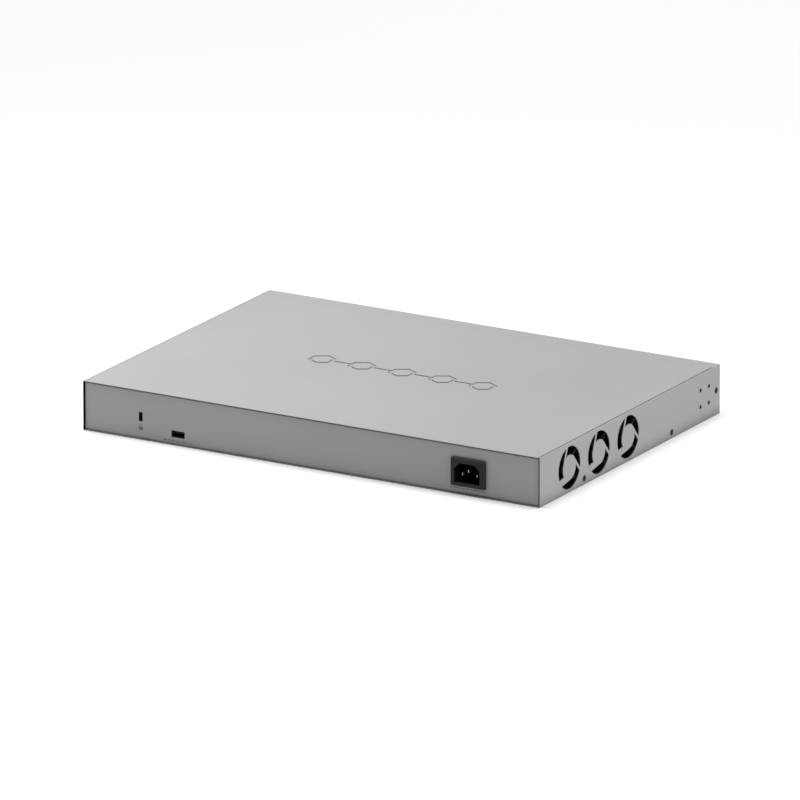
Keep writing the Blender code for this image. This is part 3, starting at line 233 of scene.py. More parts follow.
def powder_coat_and_shade(name, axis, wall=None):
    """Baked powder paint with a faint orange peel.

    The sheet stands square to axis. On the side walls the colour darkens towards the floor, a
    painted shade for the floor's contact shadow. The walls of holes through an upright sheet and
    the rear rims are painted dark, a painted shade for the shadows in the holes and in the gaps
    at the rims. With wall given, only metal further out than that counts as the sheet.
    """
    made, shader = material(name, 0.5)
    where = place_of(made)
    cloud = node(made, "TexNoise", Vector=where, Scale=9.0, Detail=3.0).outputs["Fac"]
    speck = node(made, "TexNoise", Vector=where, Scale=1400.0, Detail=2.0).outputs["Fac"]
    peel = node(made, "TexNoise", Vector=where, Scale=650.0, Detail=1.0).outputs["Fac"]
    shade = reckon(made, "MULTIPLY_ADD", speck, 0.25, cloud)
    colour = ramp(made, shade, (0.30, (0.294, 0.294, 0.294)), (0.95, (0.316, 0.316, 0.317)))
    place = node(made, "SeparateXYZ", Vector=where).outputs
    if axis == "X":
        # Painted shade: the side walls darken towards the floor, standing in for the floor's contact shadow.
        low = node(made, "MapRange", Value=place["Z"], From_Max=10 * MM).outputs["Result"]
        floor_shade_tones = ((0, 0.52), (0.12, 0.68), (0.28, 0.79), (0.55, 0.89), (1, 1))
        painted_floor_shade = ramp(made, low, *[(rise, (tone,) * 3) for rise, tone in floor_shade_tones])
        colour = overlay(made, 1.0, colour, painted_floor_shade, "MULTIPLY")
    # Painted shade: the rear rims are painted dark, a little less so at the floor, for the shadow in the gaps
    # behind them.
    over_floor = above(made, place["Z"], sheet + 0.4 * MM)
    painted_rim_shade = ramp(made, over_floor, (0.0, (0.165,) * 3), (1.0, (0.085,) * 3))
    colour = overlay(made, above(made, place["Y"], rim_y - rim_reach), colour, painted_rim_shade)
    # Painted shade: faces square to the sheet, the walls of holes and cut-outs, are painted near-black.
    if axis != "Z":
        facing = node(made, "SeparateXYZ", Vector=node(made, "NewGeometry").outputs["Normal"]).outputs[axis]
        square = reckon(made, "ABSOLUTE", facing)
        edge = node(made, "MapRange", Value=square, From_Min=0.85, From_Max=0.8).outputs["Result"]
        if wall:
            edge = all_of(
                made, edge, above(made, reckon(made, "ABSOLUTE", place["X"]), wall),
                below(made, reckon(made, "ABSOLUTE", place["Y"]), rim_y - 0.4 * MM),
                above(made, place["Z"], 2 * MM), below(made, place["Z"], case_high.z - 1.5 * MM),
            )
        colour = overlay(made, edge, colour, painted_edge_shade)
    feed(made, shader.inputs["Base Color"], colour)
    gloss = node(made, "MapRange", Value=speck, To_Min=0.44, To_Max=0.58)
    feed(made, shader.inputs["Roughness"], gloss.outputs["Result"])
    bump(made, shader, peel, 0.012 * MM, 0.6)
    return made


refinish(("chassis_base",), powder_coat_and_shade("powder_and_shade_base", "X", case_high.x - sheet + step), 0.2)
lid_paint_and_shade = powder_coat_and_shade("powder_and_shade_lid", "Z")
refinish(("top_cover", "front_panel"), lid_paint_and_shade, 0.2)
refinish(("rear_panel",), powder_coat_and_shade("powder_and_shade_rear", "Y"), 0.12)

# ------------------------------------------------------------------ wall shade strips
# Thin black strips on the inner faces of the side walls, between the rear panel and the
# rear rims: painted shade for the dark gaps there. On the vented side a strip is folded over the
# wall's rim, painting that rim dark as well.


def only(piece):
    bpy.ops.object.select_all(action="DESELECT")
    piece.select_set(True)
    bpy.context.view_layer.objects.active = piece
    return piece


def place_in_mesh(piece):
    """Moves an object's place, turn and size into its mesh."""
    only(piece)
    bpy.ops.object.transform_apply(location=True, rotation=True, scale=True)
    return piece


def block(name, low, high):
    """A new box between two corners, to be shaped further."""
    bpy.ops.object.select_all(action="DESELECT")
    low, high = Vector(low), Vector(high)
    bpy.ops.mesh.primitive_cube_add(size=1, location=(low + high) / 2)
    piece = bpy.context.object
    piece.name = piece.data.name = name
    piece.scale = high - low
    return place_in_mesh(piece)


def apply_modifiers(piece):
    only(piece)
    for modifier in list(piece.modifiers):
        bpy.ops.object.modifier_apply(modifier=modifier.name)
    return piece


def bevel_edges(piece, width, segments=2, angle=35):
    """Rounds the sharp edges, applied."""
    modifier = piece.modifiers.new("round_over", "BEVEL")
    modifier.width = width * MM
    modifier.segments = segments
    modifier.limit_method = "ANGLE"
    modifier.angle_limit = math.radians(angle)
    return apply_modifiers(piece)


def joined(name, pieces):
    """Several objects as one piece."""
    bpy.ops.object.select_all(action="DESELECT")
    for piece in pieces:
        piece.select_set(True)
    bpy.context.view_layer.objects.active = pieces[0]
    if len(pieces) > 1:
        bpy.ops.object.join()
    pieces[0].name = pieces[0].data.name = name
    return pieces[0]


def copied(piece, offset=(0, 0, 0), turned=None):
    """A copy with its own mesh, moved by offset after any turn about the origin."""
    twin = piece.copy()
    twin.data = piece.data.copy()
    bpy.context.scene.collection.objects.link(twin)
    twin.data.transform(Matrix.Translation(Vector(offset)) @ (turned or Matrix.Identity(4)))
    if turned and turned.determinant() < 0:
        only(twin)
        bpy.ops.object.mode_set(mode="EDIT")
        bpy.ops.mesh.select_all(action="SELECT")
        bpy.ops.mesh.flip_normals()
        bpy.ops.object.mode_set(mode="OBJECT")
    return twin


def done(piece, made, body="case", stands_for=(), smooth=40):
    """Finish, shading and the body that the piece rides on."""
    piece.data.materials.clear()
    piece.data.materials.append(made)
    if smooth:
        only(piece)
        bpy.ops.object.shade_smooth_by_angle(angle=math.radians(smooth))
    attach(piece, body)
    if stands_for:
        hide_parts(*stands_for)
    return piece


rear_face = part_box("rear_panel")[1].y
inside_x = case_high.x - sheet - 0.05 * MM
# Near-black for painted shade: strips and patches set in the case's dark gaps, joints and holes. The lock's
# black doubler wears it too.
shade_and_doubler_black = grained(
    "black_for_shade_and_doubler", (0.003, 0.003, 0.003), (0.006, 0.006, 0.006), 0.95, grain=2200, depth=0.05, sheen=0.06
)
thin, low_z, high_z = 0.15 * MM, 1.3 * MM, 41.95 * MM
strips = []
for side in (-1, 1):
    x0, x1 = sorted((side * inside_x, side * (inside_x - thin)))
    strips.append(block("strip", (x0, rear_face - 0.9 * MM, low_z), (x1, rim_y - 0.05 * MM, high_z)))
lip_thick = 0.06 * MM
lip = block(
    "strip", (inside_x - 0.5 * MM, rim_y - lip_thick, 0.1 * MM),
    (inside_x + 1.05 * MM, rim_y + lip_thick, high_z + 0.9 * MM),
)
done(bevel_edges(joined("wall_shade_strips", [*strips, lip]), 0.03, 1), shade_and_doubler_black)

# ------------------------------------------------------------------ lid joints
# A black strip fills the open joint on the fan side, all but level with the lid's face: painted
# shade for the joint's shadow. The joints at the vented side and at the front rail are filled and
# painted over.
joint_front, joint_rear = case_low.y + 13.5 * MM, rim_y - 0.4 * MM
joint_in, joint_out = case_high.x - 1.76 * MM, inside_x
joint_low = case_high.z - 0.9 * MM
strip = block(
    "seam_shade_strip", (-joint_out - 0.12 * MM, joint_front, joint_low),
    (-joint_in + 0.14 * MM, joint_rear, case_high.z - 0.01 * MM),
)
done(bevel_edges(strip, 0.05), shade_and_doubler_black)
face_z, rail_y = case_high.z - 0.03 * MM, case_low.y + 12.5 * MM
strips = [
    block("filler", (joint_in, joint_front, joint_low), (joint_out, joint_rear, face_z)),
    block("filler", (-joint_in, rail_y - 0.05 * MM, joint_low), (joint_in, rail_y + 0.35 * MM, face_z)),
]
done(joined("joint_filler", strips), lid_paint_and_shade)

# ------------------------------------------------------------------ rack holes
# The bracket's four holes in each wall are closed from inside by a patch of the same near-black: painted
# shade for the shadow inside the holes.
for side, wall_name in ((-1, "fan_side"), (1, "vent_side")):
    x0, x1 = sorted((side * (case_high.x - 1.03 * MM), side * (case_high.x - 1.2 * MM)))
    low, high = (x0, case_low.y + 15.6 * MM, 10 * MM), (x1, case_low.y + 37.2 * MM, 33 * MM)
    done(block(f"hole_shade_patch_{wall_name}", low, high), shade_and_doubler_black)

# ------------------------------------------------------------------ printed marks
# Screen print, grey on the rear panel: a small padlock below the lock slot, and rows of short
# strokes below the USB socket and the mains inlet. The port panel carries dark port numbers.
front_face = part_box("front_panel")[0].y
ink = grained("screen_ink_dark", (0.060, 0.060, 0.062), (0.075, 0.075, 0.078), 0.55, grain=1500, depth=0.004)
pale_ink = grained(
    "screen_ink_grey", (0.105, 0.105, 0.107), (0.125, 0.125, 0.127), 0.55, grain=1500, depth=0.004
)
ink_thick = 0.03 * MM


def print_bar(x0, x1, z0, z1, face):
    """One printed stroke on a panel face."""
    return block("stroke", (x0, face - ink_thick, z0), (x1, face + ink_thick, z1))


def stroke_row(centre_x, width, z, seed):
    """A row of short upright strokes in groups, which stands for a line of fine print."""
    dice = random.Random(seed)
    x, strokes = centre_x - width / 2, []
    while x < centre_x + width / 2 - 0.6 * MM:
        for _ in range(dice.choice((3, 4, 5))):
            wide = dice.uniform(0.35, 0.75) * MM
            strokes.append(print_bar(x, x + wide, z, z + 1.3 * MM, rear_face))
            x += wide + 0.25 * MM
        x += 0.9 * MM
    return strokes


plate_low, plate_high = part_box("lock_plate")
lock_x, lock_z = (plate_low.x + plate_high.x) / 2, (plate_low.z + plate_high.z) / 2
usb_low, usb_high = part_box("usb_shell")
usb_x = (usb_low.x + usb_high.x) / 2
inlet_low, inlet_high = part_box("inlet_housing")
inlet_x, inlet_z = (inlet_low.x + inlet_high.x) / 2, (inlet_low.z + inlet_high.z) / 2
icon_z, icon_half, shackle_line = lock_z - 10.4 * MM, 1.9 * MM, 0.3 * MM
bpy.ops.mesh.primitive_torus_add(
    location=(lock_x, rear_face, icon_z + 1.9 * MM), rotation=(math.pi / 2, 0, 0),
    major_radius=1.25 * MM, minor_radius=shackle_line, major_segments=24, minor_segments=6,
)
shackle = bpy.context.object
shackle.scale = (1, 1, ink_thick / shackle_line)
place_in_mesh(shackle)
lock_body = print_bar(
    lock_x - icon_half, lock_x + icon_half, icon_z - 1.2 * MM, icon_z + 1.6 * MM, rear_face
)
marks = [shackle, lock_body]
marks += stroke_row(usb_x, 27 * MM, usb_low.z - 3.9 * MM, 3)
marks += stroke_row(inlet_x, 33 * MM, inlet_low.z - 2.6 * MM, 8)
done(joined("rear_print", marks), pale_ink, smooth=0)

# ------------------------------------------------------------------ cover screws
# M3 countersunk steel screws, black oxide, with a cross recess pressed into the head. Two on
# each side hold the lid's tabs and one the port panel's flange.


def edit(piece, mode="FACE"):
    """Opens a piece for edit, with nothing selected."""
    only(piece)
    bpy.ops.object.mode_set(mode="EDIT")
    bpy.ops.mesh.select_mode(type=mode)
    bpy.ops.mesh.select_all(action="DESELECT")
    return bmesh.from_edit_mesh(piece.data)


def pick(piece, test):
    """Selects the faces of the mesh under edit that pass the test."""
    bpy.ops.mesh.select_all(action="DESELECT")
    shape = bmesh.from_edit_mesh(piece.data)
    for face in shape.faces:
        if test(face):
            face.select_set(True)
    bmesh.update_edit_mesh(piece.data)


def leave():
    bpy.ops.object.mode_set(mode="OBJECT")


def extrude(vector):
    bpy.ops.mesh.extrude_region_move(TRANSFORM_OT_translate={"value": vector})


def resize(scale, centre):
    bpy.ops.transform.resize(value=scale, center_override=centre)


def boolean(piece, other, operation="DIFFERENCE"):
    """Cuts or unites another object, applied, and removes that object."""
    modifier = piece.modifiers.new("shape", "BOOLEAN")
    modifier.operation = operation
    modifier.object = other
    modifier.solver = "EXACT"
    apply_modifiers(piece)
    bpy.data.objects.remove(other)
    return piece


def rod(name, start, end, radius, segments=32):
    """A cylinder from one point to another."""
    bpy.ops.object.select_all(action="DESELECT")
    start, end = Vector(start), Vector(end)
    bpy.ops.mesh.primitive_cylinder_add(
        vertices=segments, radius=radius, depth=(end - start).length, location=(start + end) / 2,
        rotation=(end - start).to_track_quat("Z", "Y").to_euler(),
    )
    piece = bpy.context.object
    piece.name = piece.data.name = name
    return place_in_mesh(piece)


def cross_recess(reach, width, deep):
    """A tapered cross along +X from the origin, to sink into a screw's head."""
    arms = []
    for a, b in ((reach, width), (width, reach)):
        arm = block("arm", (-0.3 * MM, -a / 2, -b / 2), (deep, a / 2, b / 2))
        edit(arm)
        pick(arm, lambda f: f.normal.x > 0.9)
        resize((1, 0.45, 0.45), (deep, 0, 0))
        leave()
        arms.append(arm)
    return boolean(arms[0], arms[1], "UNION")


def countersunk_screw():
    """Head flush at x = 0, shank along +X, rolled thread down to a blunt end."""
    head_r, shank_r, head = 2.5 * MM, 1.5 * MM, 1.0 * MM
    screw = rod("cover_screw", (0, 0, 0), (head, 0, 0), head_r, 40)
    edit(screw)
    pick(screw, lambda f: f.normal.x > 0.9)
    resize((1, shank_r / head_r, shank_r / head_r), (head, 0, 0))
    x, pitch = head, 0.5 * MM
    while x + pitch < 5.9 * MM:
        for share, step in ((0.82, 0.22), (1 / 0.82, 0.22), (1.0, 0.06)):
            extrude((pitch * step / 0.5, 0, 0))
            x += pitch * step / 0.5
            resize((1, share, share), (x, 0, 0))
    resize((1, 0.8, 0.8), (x, 0, 0))
    leave()
    bevel_edges(screw, 0.08, 1, 60)
    return boolean(screw, cross_recess(3.0 * MM, 0.75 * MM, 1.1 * MM))


blackened = grained(
    "black_oxide_steel", (0.008, 0.008, 0.0085), (0.014, 0.014, 0.015), 0.48, 0.3, grain=1200, depth=0.006,
    sheen=0.3,
)
screw_master = countersunk_screw()
for name in sorted(n for n in nodes if n.startswith("cover_screw")):
    low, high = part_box(name)
    side = -1 if low.x < 0 else 1
    outer = low.x if side < 0 else high.x
    turned = Matrix.Identity(4) if side < 0 else Matrix.Rotation(math.pi, 4, "Z")
    spin = Matrix.Rotation(math.radians(17 + 40 * low.y / 0.1), 4, "X")
    fitted = copied(screw_master, (outer, (low.y + high.y) / 2, (low.z + high.z) / 2), turned @ spin)
    fitted.name = fitted.data.name = name.replace("cover_screw", "case_screw")
    done(fitted, blackened, stands_for=(name,), smooth=35)
bpy.data.objects.remove(screw_master)

# ------------------------------------------------------------------ mains inlet
# A snap-in three-pole inlet, injection-moulded in black: a bevelled bezel outside the rear
# panel, a keyed recess and three nickel-plated blades.
socket_x, socket_z = inlet_x + 0.9 * MM, inlet_z - 0.5 * MM


def near(made, value, centre, reach):
    """1 where a value is within reach of a centre."""
    return below(made, reckon(made, "ABSOLUTE", reckon(made, "SUBTRACT", value, centre)), reach)


def inlet_moulding():
    """Fine-grained black resin; inside the recess it is painted blacker as painted shade, and duller."""
    made = grained(
        "inlet_moulding_black", (0.011, 0.011, 0.0115), (0.016, 0.016, 0.0165), 0.55, grain=1100, depth=0.008,
        sheen=0.25,
    )
    place = node(made, "SeparateXYZ", Vector=place_of(made)).outputs
    # Painted shade: the recess is painted near-black.
    painted_recess_shade = all_of(
        made, below(made, place["Y"], inlet_high.y - 0.4 * MM),
        near(made, place["X"], socket_x, 12.3 * MM), near(made, place["Z"], socket_z, 8.6 * MM),
    )
    shader = made.node_tree.nodes["Principled BSDF"]
    bezel_tone = shader.inputs["Base Color"].links[0].from_socket
    feed(made, shader.inputs["Base Color"], overlay(made, painted_recess_shade, bezel_tone, (0.005, 0.005, 0.005, 1)))
    sheen = node(made, "MapRange", Value=painted_recess_shade, To_Min=0.25, To_Max=0.06).outputs["Result"]
    feed(made, shader.inputs["Specular IOR Level"], sheen)
    return made


refinish(("inlet_housing",), inlet_moulding(), 0.3, 3)
nickel = grained(
    "nickel_plated_brass", (0.34, 0.33, 0.31), (0.42, 0.41, 0.38), 0.34, 1.0, grain=700, depth=0.002,
    stretch=(4, 0.4, 4),
)


def blade(low, high):
    """A flat blade along Y with a tapered nose at its outer end."""
    nose = 1.7 * MM
    piece = block("blade", low, (high.x, high.y - nose, high.z))
    edit(piece)
    pick(piece, lambda f: f.normal.y > 0.9)
    extrude((0, nose, 0))
    resize((0.4, 1, 0.6), ((low.x + high.x) / 2, high.y, (low.z + high.z) / 2))
    leave()
    return bevel_edges(piece, 0.2, 3, 25)


for pole in ("line", "neutral", "earth"):
    fitted = blade(*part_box(f"inlet_pin_{pole}"))
    fitted.name = fitted.data.name = f"{pole}_blade"
    done(fitted, nickel, stands_for=(f"inlet_pin_{pole}",))

# ------------------------------------------------------------------ USB socket and lock plate
# A folded shell of darkened tin plate just behind the panel, a tongue with four gold contacts,
# and the black doubler that takes the lock.
gold = grained("gold_flash", (0.80, 0.58, 0.22), (0.88, 0.66, 0.28), 0.20, 1.0, grain=900, depth=0.001)
tongue_black = grained(
    "connector_resin_black", (0.007, 0.007, 0.0075), (0.012, 0.012, 0.0125), 0.5, grain=1000, depth=0.006,
    sheen=0.3,
)
dull_tin = grained(
    "darkened_tin", (0.035, 0.035, 0.036), (0.05, 0.05, 0.052), 0.6, 0.4, grain=500, depth=0.003, sheen=0.2
)
refinish(("usb_shell",), dull_tin, 0.1)
refinish(("usb_tongue",), tongue_black, 0.15)
refinish(("lock_plate",), shade_and_doubler_black, 0.1)
tongue_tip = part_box("usb_tongue")[1]
contact_half, underside = 0.6 * MM, tongue_tip.z - 0.5 * MM - 1.8 * MM
strips = []
for across in (-3.5, -1.0, 1.0, 3.5):
    x = usb_x + across * MM
    low = (x - contact_half, tongue_tip.y - 8 * MM, underside - 0.12 * MM)
    high = (x + contact_half, tongue_tip.y - 0.6 * MM, underside + 0.05 * MM)
    strips.append(block("strip", low, high))
done(bevel_edges(joined("usb_contacts", strips), 0.05, 1), gold)

# ------------------------------------------------------------------ fans
# Three 40 mm axial fans: a glass-filled frame with its hub plate on four struts, a wound
# stator, and a seven-bladed rotor on a steel shaft. Each is screwed to the bracket at its corners.
fan_black = grained(
    "fan_resin_black", (0.0035, 0.0035, 0.004), (0.006, 0.006, 0.0065), 0.7, grain=800, depth=0.01, sheen=0.12
)
enamel = grained(
    "enamelled_copper", (0.36, 0.12, 0.03), (0.55, 0.22, 0.07), 0.32, 0.9, grain=260, depth=0.02,
    stretch=(10, 1, 1),
)
zinc = grained("zinc_plated_steel", (0.42, 0.43, 0.44), (0.55, 0.56, 0.57), 0.38, 1.0, grain=260, depth=0.006)
refinish(("fan_bracket",), zinc, 0.15)


def rotor():
    """Cup, shaft boss and seven cambered blades about the X axis, hub plate side at x = 0."""
    mouth, end, hub_r, tip_r = 3.3 * MM, 19 * MM, 10.4 * MM, 18.1 * MM
    hub_wall, boss_r, vanes = 1.4 * MM, 1.5 * MM, 7
    cup = rod("rotor", (mouth, 0, 0), (end, 0, 0), hub_r, 64)
    edit(cup)
    pick(cup, lambda f: f.normal.x < -0.9)
    bpy.ops.mesh.inset(thickness=hub_wall)
    extrude((end - mouth - 2.5 * MM, 0, 0))
    bpy.ops.mesh.inset(thickness=hub_r - hub_wall - boss_r)
    extrude((-(end - mouth - 2.5 * MM) + 1.2 * MM, 0, 0))
    leave()
    bevel_edges(cup, 0.5, 3, 60)
    blades = []
    length = 12.2 * MM
    for number in range(vanes):
        bpy.ops.object.select_all(action="DESELECT")
        bpy.ops.mesh.primitive_grid_add(
            x_subdivisions=14, y_subdivisions=8, size=1, location=(0, 0, 0), rotation=(math.pi / 2, 0, 0)
        )
        vane = bpy.context.object
        vane.scale = (length * 1.25, 10.5 * MM, 1)
        place_in_mesh(vane)
        vane.data.transform(Matrix.Translation((0, 0, 14.4 * MM)))
        for point in vane.data.vertices:
            along, out = point.co.x / length, point.co.z
            camber = 1.6 * MM * (1 - 4 * along * along)
            pitch = math.radians(46 - 7 * (out - 10 * MM) / (8 * MM))
            x, y = along * length, camber
            point.co.x = x * math.sin(pitch) + y * math.cos(pitch) * 0.3
            point.co.y = -x * math.cos(pitch) + y * math.sin(pitch)
        solid = vane.modifiers.new("thick", "SOLIDIFY")
        solid.thickness = 0.9 * MM
        solid.offset = 0
        apply_modifiers(vane)
        middle = mouth + 7.6 * MM
        turned = Matrix.Rotation(math.tau * number / vanes, 4, "X")
        vane.data.transform(turned @ Matrix.Translation((middle, 0, 0)))
        blades.append(vane)
    sweep = rod("sweep", (mouth + 0.4 * MM, 0, 0), (end - 1.0 * MM, 0, 0), tip_r, 96)
    core = rod("core", (mouth - MM, 0, 0), (end + MM, 0, 0), hub_r - 0.5 * MM, 64)
    boolean(sweep, core)
    trimmed = [boolean(vane, copied(sweep), "INTERSECT") for vane in blades]
    bpy.data.objects.remove(sweep)
    return joined("rotor", [cup, *trimmed])


rotor_master = rotor()
for number in (1, 2, 3):
    low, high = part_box(f"fan_frame_{number}")
    middle = (low + high) / 2
    turned = Matrix.Rotation(math.radians(23 * number), 4, "X")
    fitted = copied(rotor_master, (low.x, middle.y, middle.z), turned)
    fitted.name = fitted.data.name = f"fan_impeller_{number}"
    done(fitted, fan_black, f"rotor_{number}", (f"fan_rotor_{number}",), 40)
bpy.data.objects.remove(rotor_master)
refinish([f"fan_frame_{n}" for n in (1, 2, 3)], fan_black, 0.3)
refinish([f"fan_motor_{n}" for n in (1, 2, 3)], enamel)


def fan_screw():
    """A head that tapers to its seat at x = 0, and a plain shank along +X."""
    head_r, taper, shank = 2.1 * MM, 0.62, 5.04 * MM
    screw = rod("fan_screw", (-1.5 * MM, 0, 0), (0, 0, 0), head_r, 32)
    edit(screw)
    pick(screw, lambda f: f.normal.x > 0.9)
    resize((1, taper, taper), (0, 0, 0))
    extrude((shank, 0, 0))
    leave()
    cross = cross_recess(2.3 * MM, 0.6 * MM, 1.0 * MM)
    cross.data.transform(Matrix.Translation((-1.55 * MM, 0, 0)))
    return boolean(screw, cross)


zinc_screw = fan_screw()
for number in (1, 2, 3):
    low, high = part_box(f"fan_frame_{number}")
    middle = (low + high) / 2
    for corner, (a, b) in enumerate(((-1, -1), (1, -1), (-1, 1), (1, 1)), 1):
        place = (high.x + 1.3 * MM, middle.y + a * 16 * MM, middle.z + b * 16 * MM)
        turned = Matrix.Rotation(math.pi, 4, "Z") @ Matrix.Rotation(0.7 * corner + number, 4, "X")
        fitted = copied(zinc_screw, place, turned)
        fitted.name = fitted.data.name = f"fan_screw_{number}_{corner}"
        done(fitted, zinc, smooth=35)
bpy.data.objects.remove(zinc_screw)

braid = grained("sleeve_black", (0.014, 0.014, 0.015), (0.030, 0.030, 0.031), 0.6, grain=1500, depth=0.03)
refinish([f"fan_lead_{n}" for n in (1, 2, 3)] + ["output_harness"], braid)
refinish(("fan_header",), tongue_black, 0.3)

# ------------------------------------------------------------------ circuit boards
# Green solder mask over copper on glass-fibre laminate. The main board runs along the port
# panel and up to the USB socket; the supply's own board stands beside the fans.


def laminate():
    """Traces at 45 degrees and plated holes under a cloudy green mask."""
    made, shader = material("solder_mask_green", 0.34)
    lanes = node(
        made, "TexBrick", {"offset": 0.5, "squash": 0.6, "squash_frequency": 3},
        Vector=place_of(made, (1, 1, 0.001), (0, 0, math.radians(45))), Scale=90.0, Mortar_Size=0.012,
        Color1=(0, 0, 0, 1), Color2=(0.2, 0.2, 0.2, 1), Mortar=(1, 1, 1, 1),
    ).outputs["Color"]
    cells = node(made, "TexVoronoi", Vector=place_of(made, (1, 1, 0.001)), Scale=170.0, Randomness=0.7)
    cloud = node(made, "TexNoise", Vector=place_of(made), Scale=40.0, Detail=3.0).outputs["Fac"]
    mask = ramp(made, cloud, (0.3, (0.010, 0.085, 0.045)), (0.7, (0.014, 0.11, 0.055)))
    traced = overlay(made, lanes, mask, (0.03, 0.20, 0.09, 1))
    holes = ramp(made, cells.outputs["Distance"], (0.0, (1, 1, 1)), (0.10, (1, 1, 1)), (0.13, (0, 0, 0)))
    feed(made, shader.inputs["Base Color"], overlay(made, holes, traced, (0.55, 0.52, 0.42, 1)))
    bump(made, shader, lanes, 0.03 * MM)
    return made


refinish(("main_board", "supply_board"), laminate(), 0.1)
chip_resin = grained("chip_resin", (0.020, 0.020, 0.022), (0.030, 0.030, 0.032), 0.5, grain=900, depth=0.01)
refinish(("switch_chip", "led_mode_switch", "reset_switch"), chip_resin, 0.2)
alloy = grained(
    "extruded_aluminium", (0.66, 0.66, 0.67), (0.74, 0.74, 0.75), 0.34, 1.0, grain=420, depth=0.006,
    stretch=(1, 0.05, 1),
)
refinish(("switch_heatsink", "port_heatsink", "primary_heatsink", "output_heatsink"), alloy, 0.15)

# ------------------------------------------------------------------ small parts on the main board
# Surface-mounted packages with gull-wing leads, isolating magnetics behind each jack block,
# converter inductors, aluminium cans, and rows of chip resistors and capacitors.
board_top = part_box("main_board")[1].z
tin = grained(
    "tin_plated_steel", (0.55, 0.55, 0.54), (0.64, 0.64, 0.63), 0.30, 1.0, grain=500, depth=0.003,
    stretch=(1, 6, 1),
)


def gull_lead():
    """One lead at the origin: its foot points to -Y, its root meets the package at y = 0."""
    lead = block("lead", (-0.17 * MM, -1.3 * MM, 0), (0.17 * MM, -0.7 * MM, 0.16 * MM))
    edit(lead)
    pick(lead, lambda f: f.normal.y > 0.9)
    extrude((0, 0.35 * MM, 0.7 * MM))
    extrude((0, 0.45 * MM, 0))
    leave()
    return lead


gull = gull_lead()


def package(name, x, y, half_x, half_y, along_x, along_y=0, high=1.4):
    """A moulded package; along_x leads stand on each Y side and along_y on each X side."""
    base = board_top + 0.15 * MM
    low, top = (x - half_x, y - half_y, base), (x + half_x, y + half_y, base + high * MM)
    body = block(name, low, top)
    dot_x, dot_y = low[0] + 1.4 * MM, low[1] + 1.4 * MM
    dot = rod("dot", (dot_x, dot_y, top[2] - 0.1 * MM), (dot_x, dot_y, top[2] + MM), 0.5 * MM, 16)
    done(bevel_edges(boolean(body, dot), 0.12, 2, 50), chip_resin)
    leads = []
    sides = (along_x, half_x, half_y, (0, 180)), (along_y, half_y, half_x, (90, 270))
    for count, half, reach, angles in sides:
        for angle in angles:
            turned = Matrix.Rotation(math.radians(angle), 4, "Z")
            for index in range(count):
                across = (index - (count - 1) / 2) * (2 * half - 1.2 * MM) / max(count - 1, 1)
                place = turned @ Vector((across, -reach, 0))
                leads.append(copied(gull, (x + place.x, y + place.y, board_top + 0.01 * MM), turned))
    done(joined(f"{name}_leads", leads), tin)


package("control_processor", 0.135, -0.075, 9 * MM, 9 * MM, 14, 14)
for index in range(4):
    package(f"memory_{index + 1}", 0.112 + 0.017 * index, -0.035, 5.5 * MM, 4.5 * MM, 9)
package("flash_memory", 0.165, -0.078, 4 * MM, 3 * MM, 4)
package("port_supply_controller", 0.175, -0.02, 4.5 * MM, 4.5 * MM, 7, 7)
for index in range(6):
    block_low, block_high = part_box(f"jack_housing_{index // 2 + 1}")
    x = (block_low.x + block_high.x) / 2 + (index % 2 - 0.5) * 0.028
    package(f"magnetics_{index + 1}", x, block_high.y + 5.6 * MM, 11 * MM, 2.6 * MM, 12, high=4.2)
bpy.data.objects.remove(gull)


def chamfered_block(name, low, high, corner):
    """A box whose four upright edges are rounded more than the others."""
    piece = block(name, low, high)
    shape = edit(piece, "EDGE")
    for edge in shape.edges:
        first, second = (v.co for v in edge.verts)
        edge.select_set(abs(first.z - second.z) > 1e-6)
    bmesh.update_edit_mesh(piece.data)
    bpy.ops.mesh.bevel(offset=corner, segments=3)
    leave()
    return bevel_edges(piece, 0.15, 2, 50)


def on_board(name, x, y, half_x, half_y, high, corner, made):
    """A rounded block that stands on the board."""
    low = (x - half_x, y - half_y, board_top + 0.05 * MM)
    done(chamfered_block(name, low, (x + half_x, y + half_y, board_top + high), corner), made)


def can(name, x, y, radius, high, made):
    """An aluminium can: rolled groove near its foot and a scored vent in its top."""
    start = board_top + 0.05 * MM
    piece = rod(name, (x, y, start), (x, y, start + 1.2 * MM), radius, 40)
    edit(piece)
    pick(piece, lambda f: f.normal.z > 0.9)
    centre = (x, y, start)
    for rise, share in ((0.4 * MM, 0.92), (0.4 * MM, 1 / 0.92), (high - 2.4 * MM, 1.0), (0.4 * MM, 0.9)):
        extrude((0, 0, rise))
        resize((share, share, 1), centre)
    bpy.ops.mesh.inset(thickness=0.25 * radius)
    extrude((0, 0, -0.2 * MM))
    leave()
    slit, reach, top = 0.12 * MM, 0.6 * radius, start + high
    score = block("score", (x - slit, y - reach, top - 0.4 * MM), (x + slit, y + reach, top + MM))
    done(boolean(piece, score), made)


ferrite = grained("ferrite_core", (0.030, 0.030, 0.033), (0.050, 0.050, 0.053), 0.55, grain=300, depth=0.03)
for index in range(4):
    x = 16 * MM * index
    on_board(f"converter_inductor_{index + 1}", x, 0.075, 5 * MM, 5 * MM, 5 * MM, 1.2 * MM, ferrite)
    can(f"board_capacitor_{index + 1}", x, 0.093, 4 * MM, 10 * MM, alloy)
on_board("board_crystal", 0.158, -0.058, 5.5 * MM, 2.3 * MM, 3.5 * MM, 2.2 * MM, zinc)


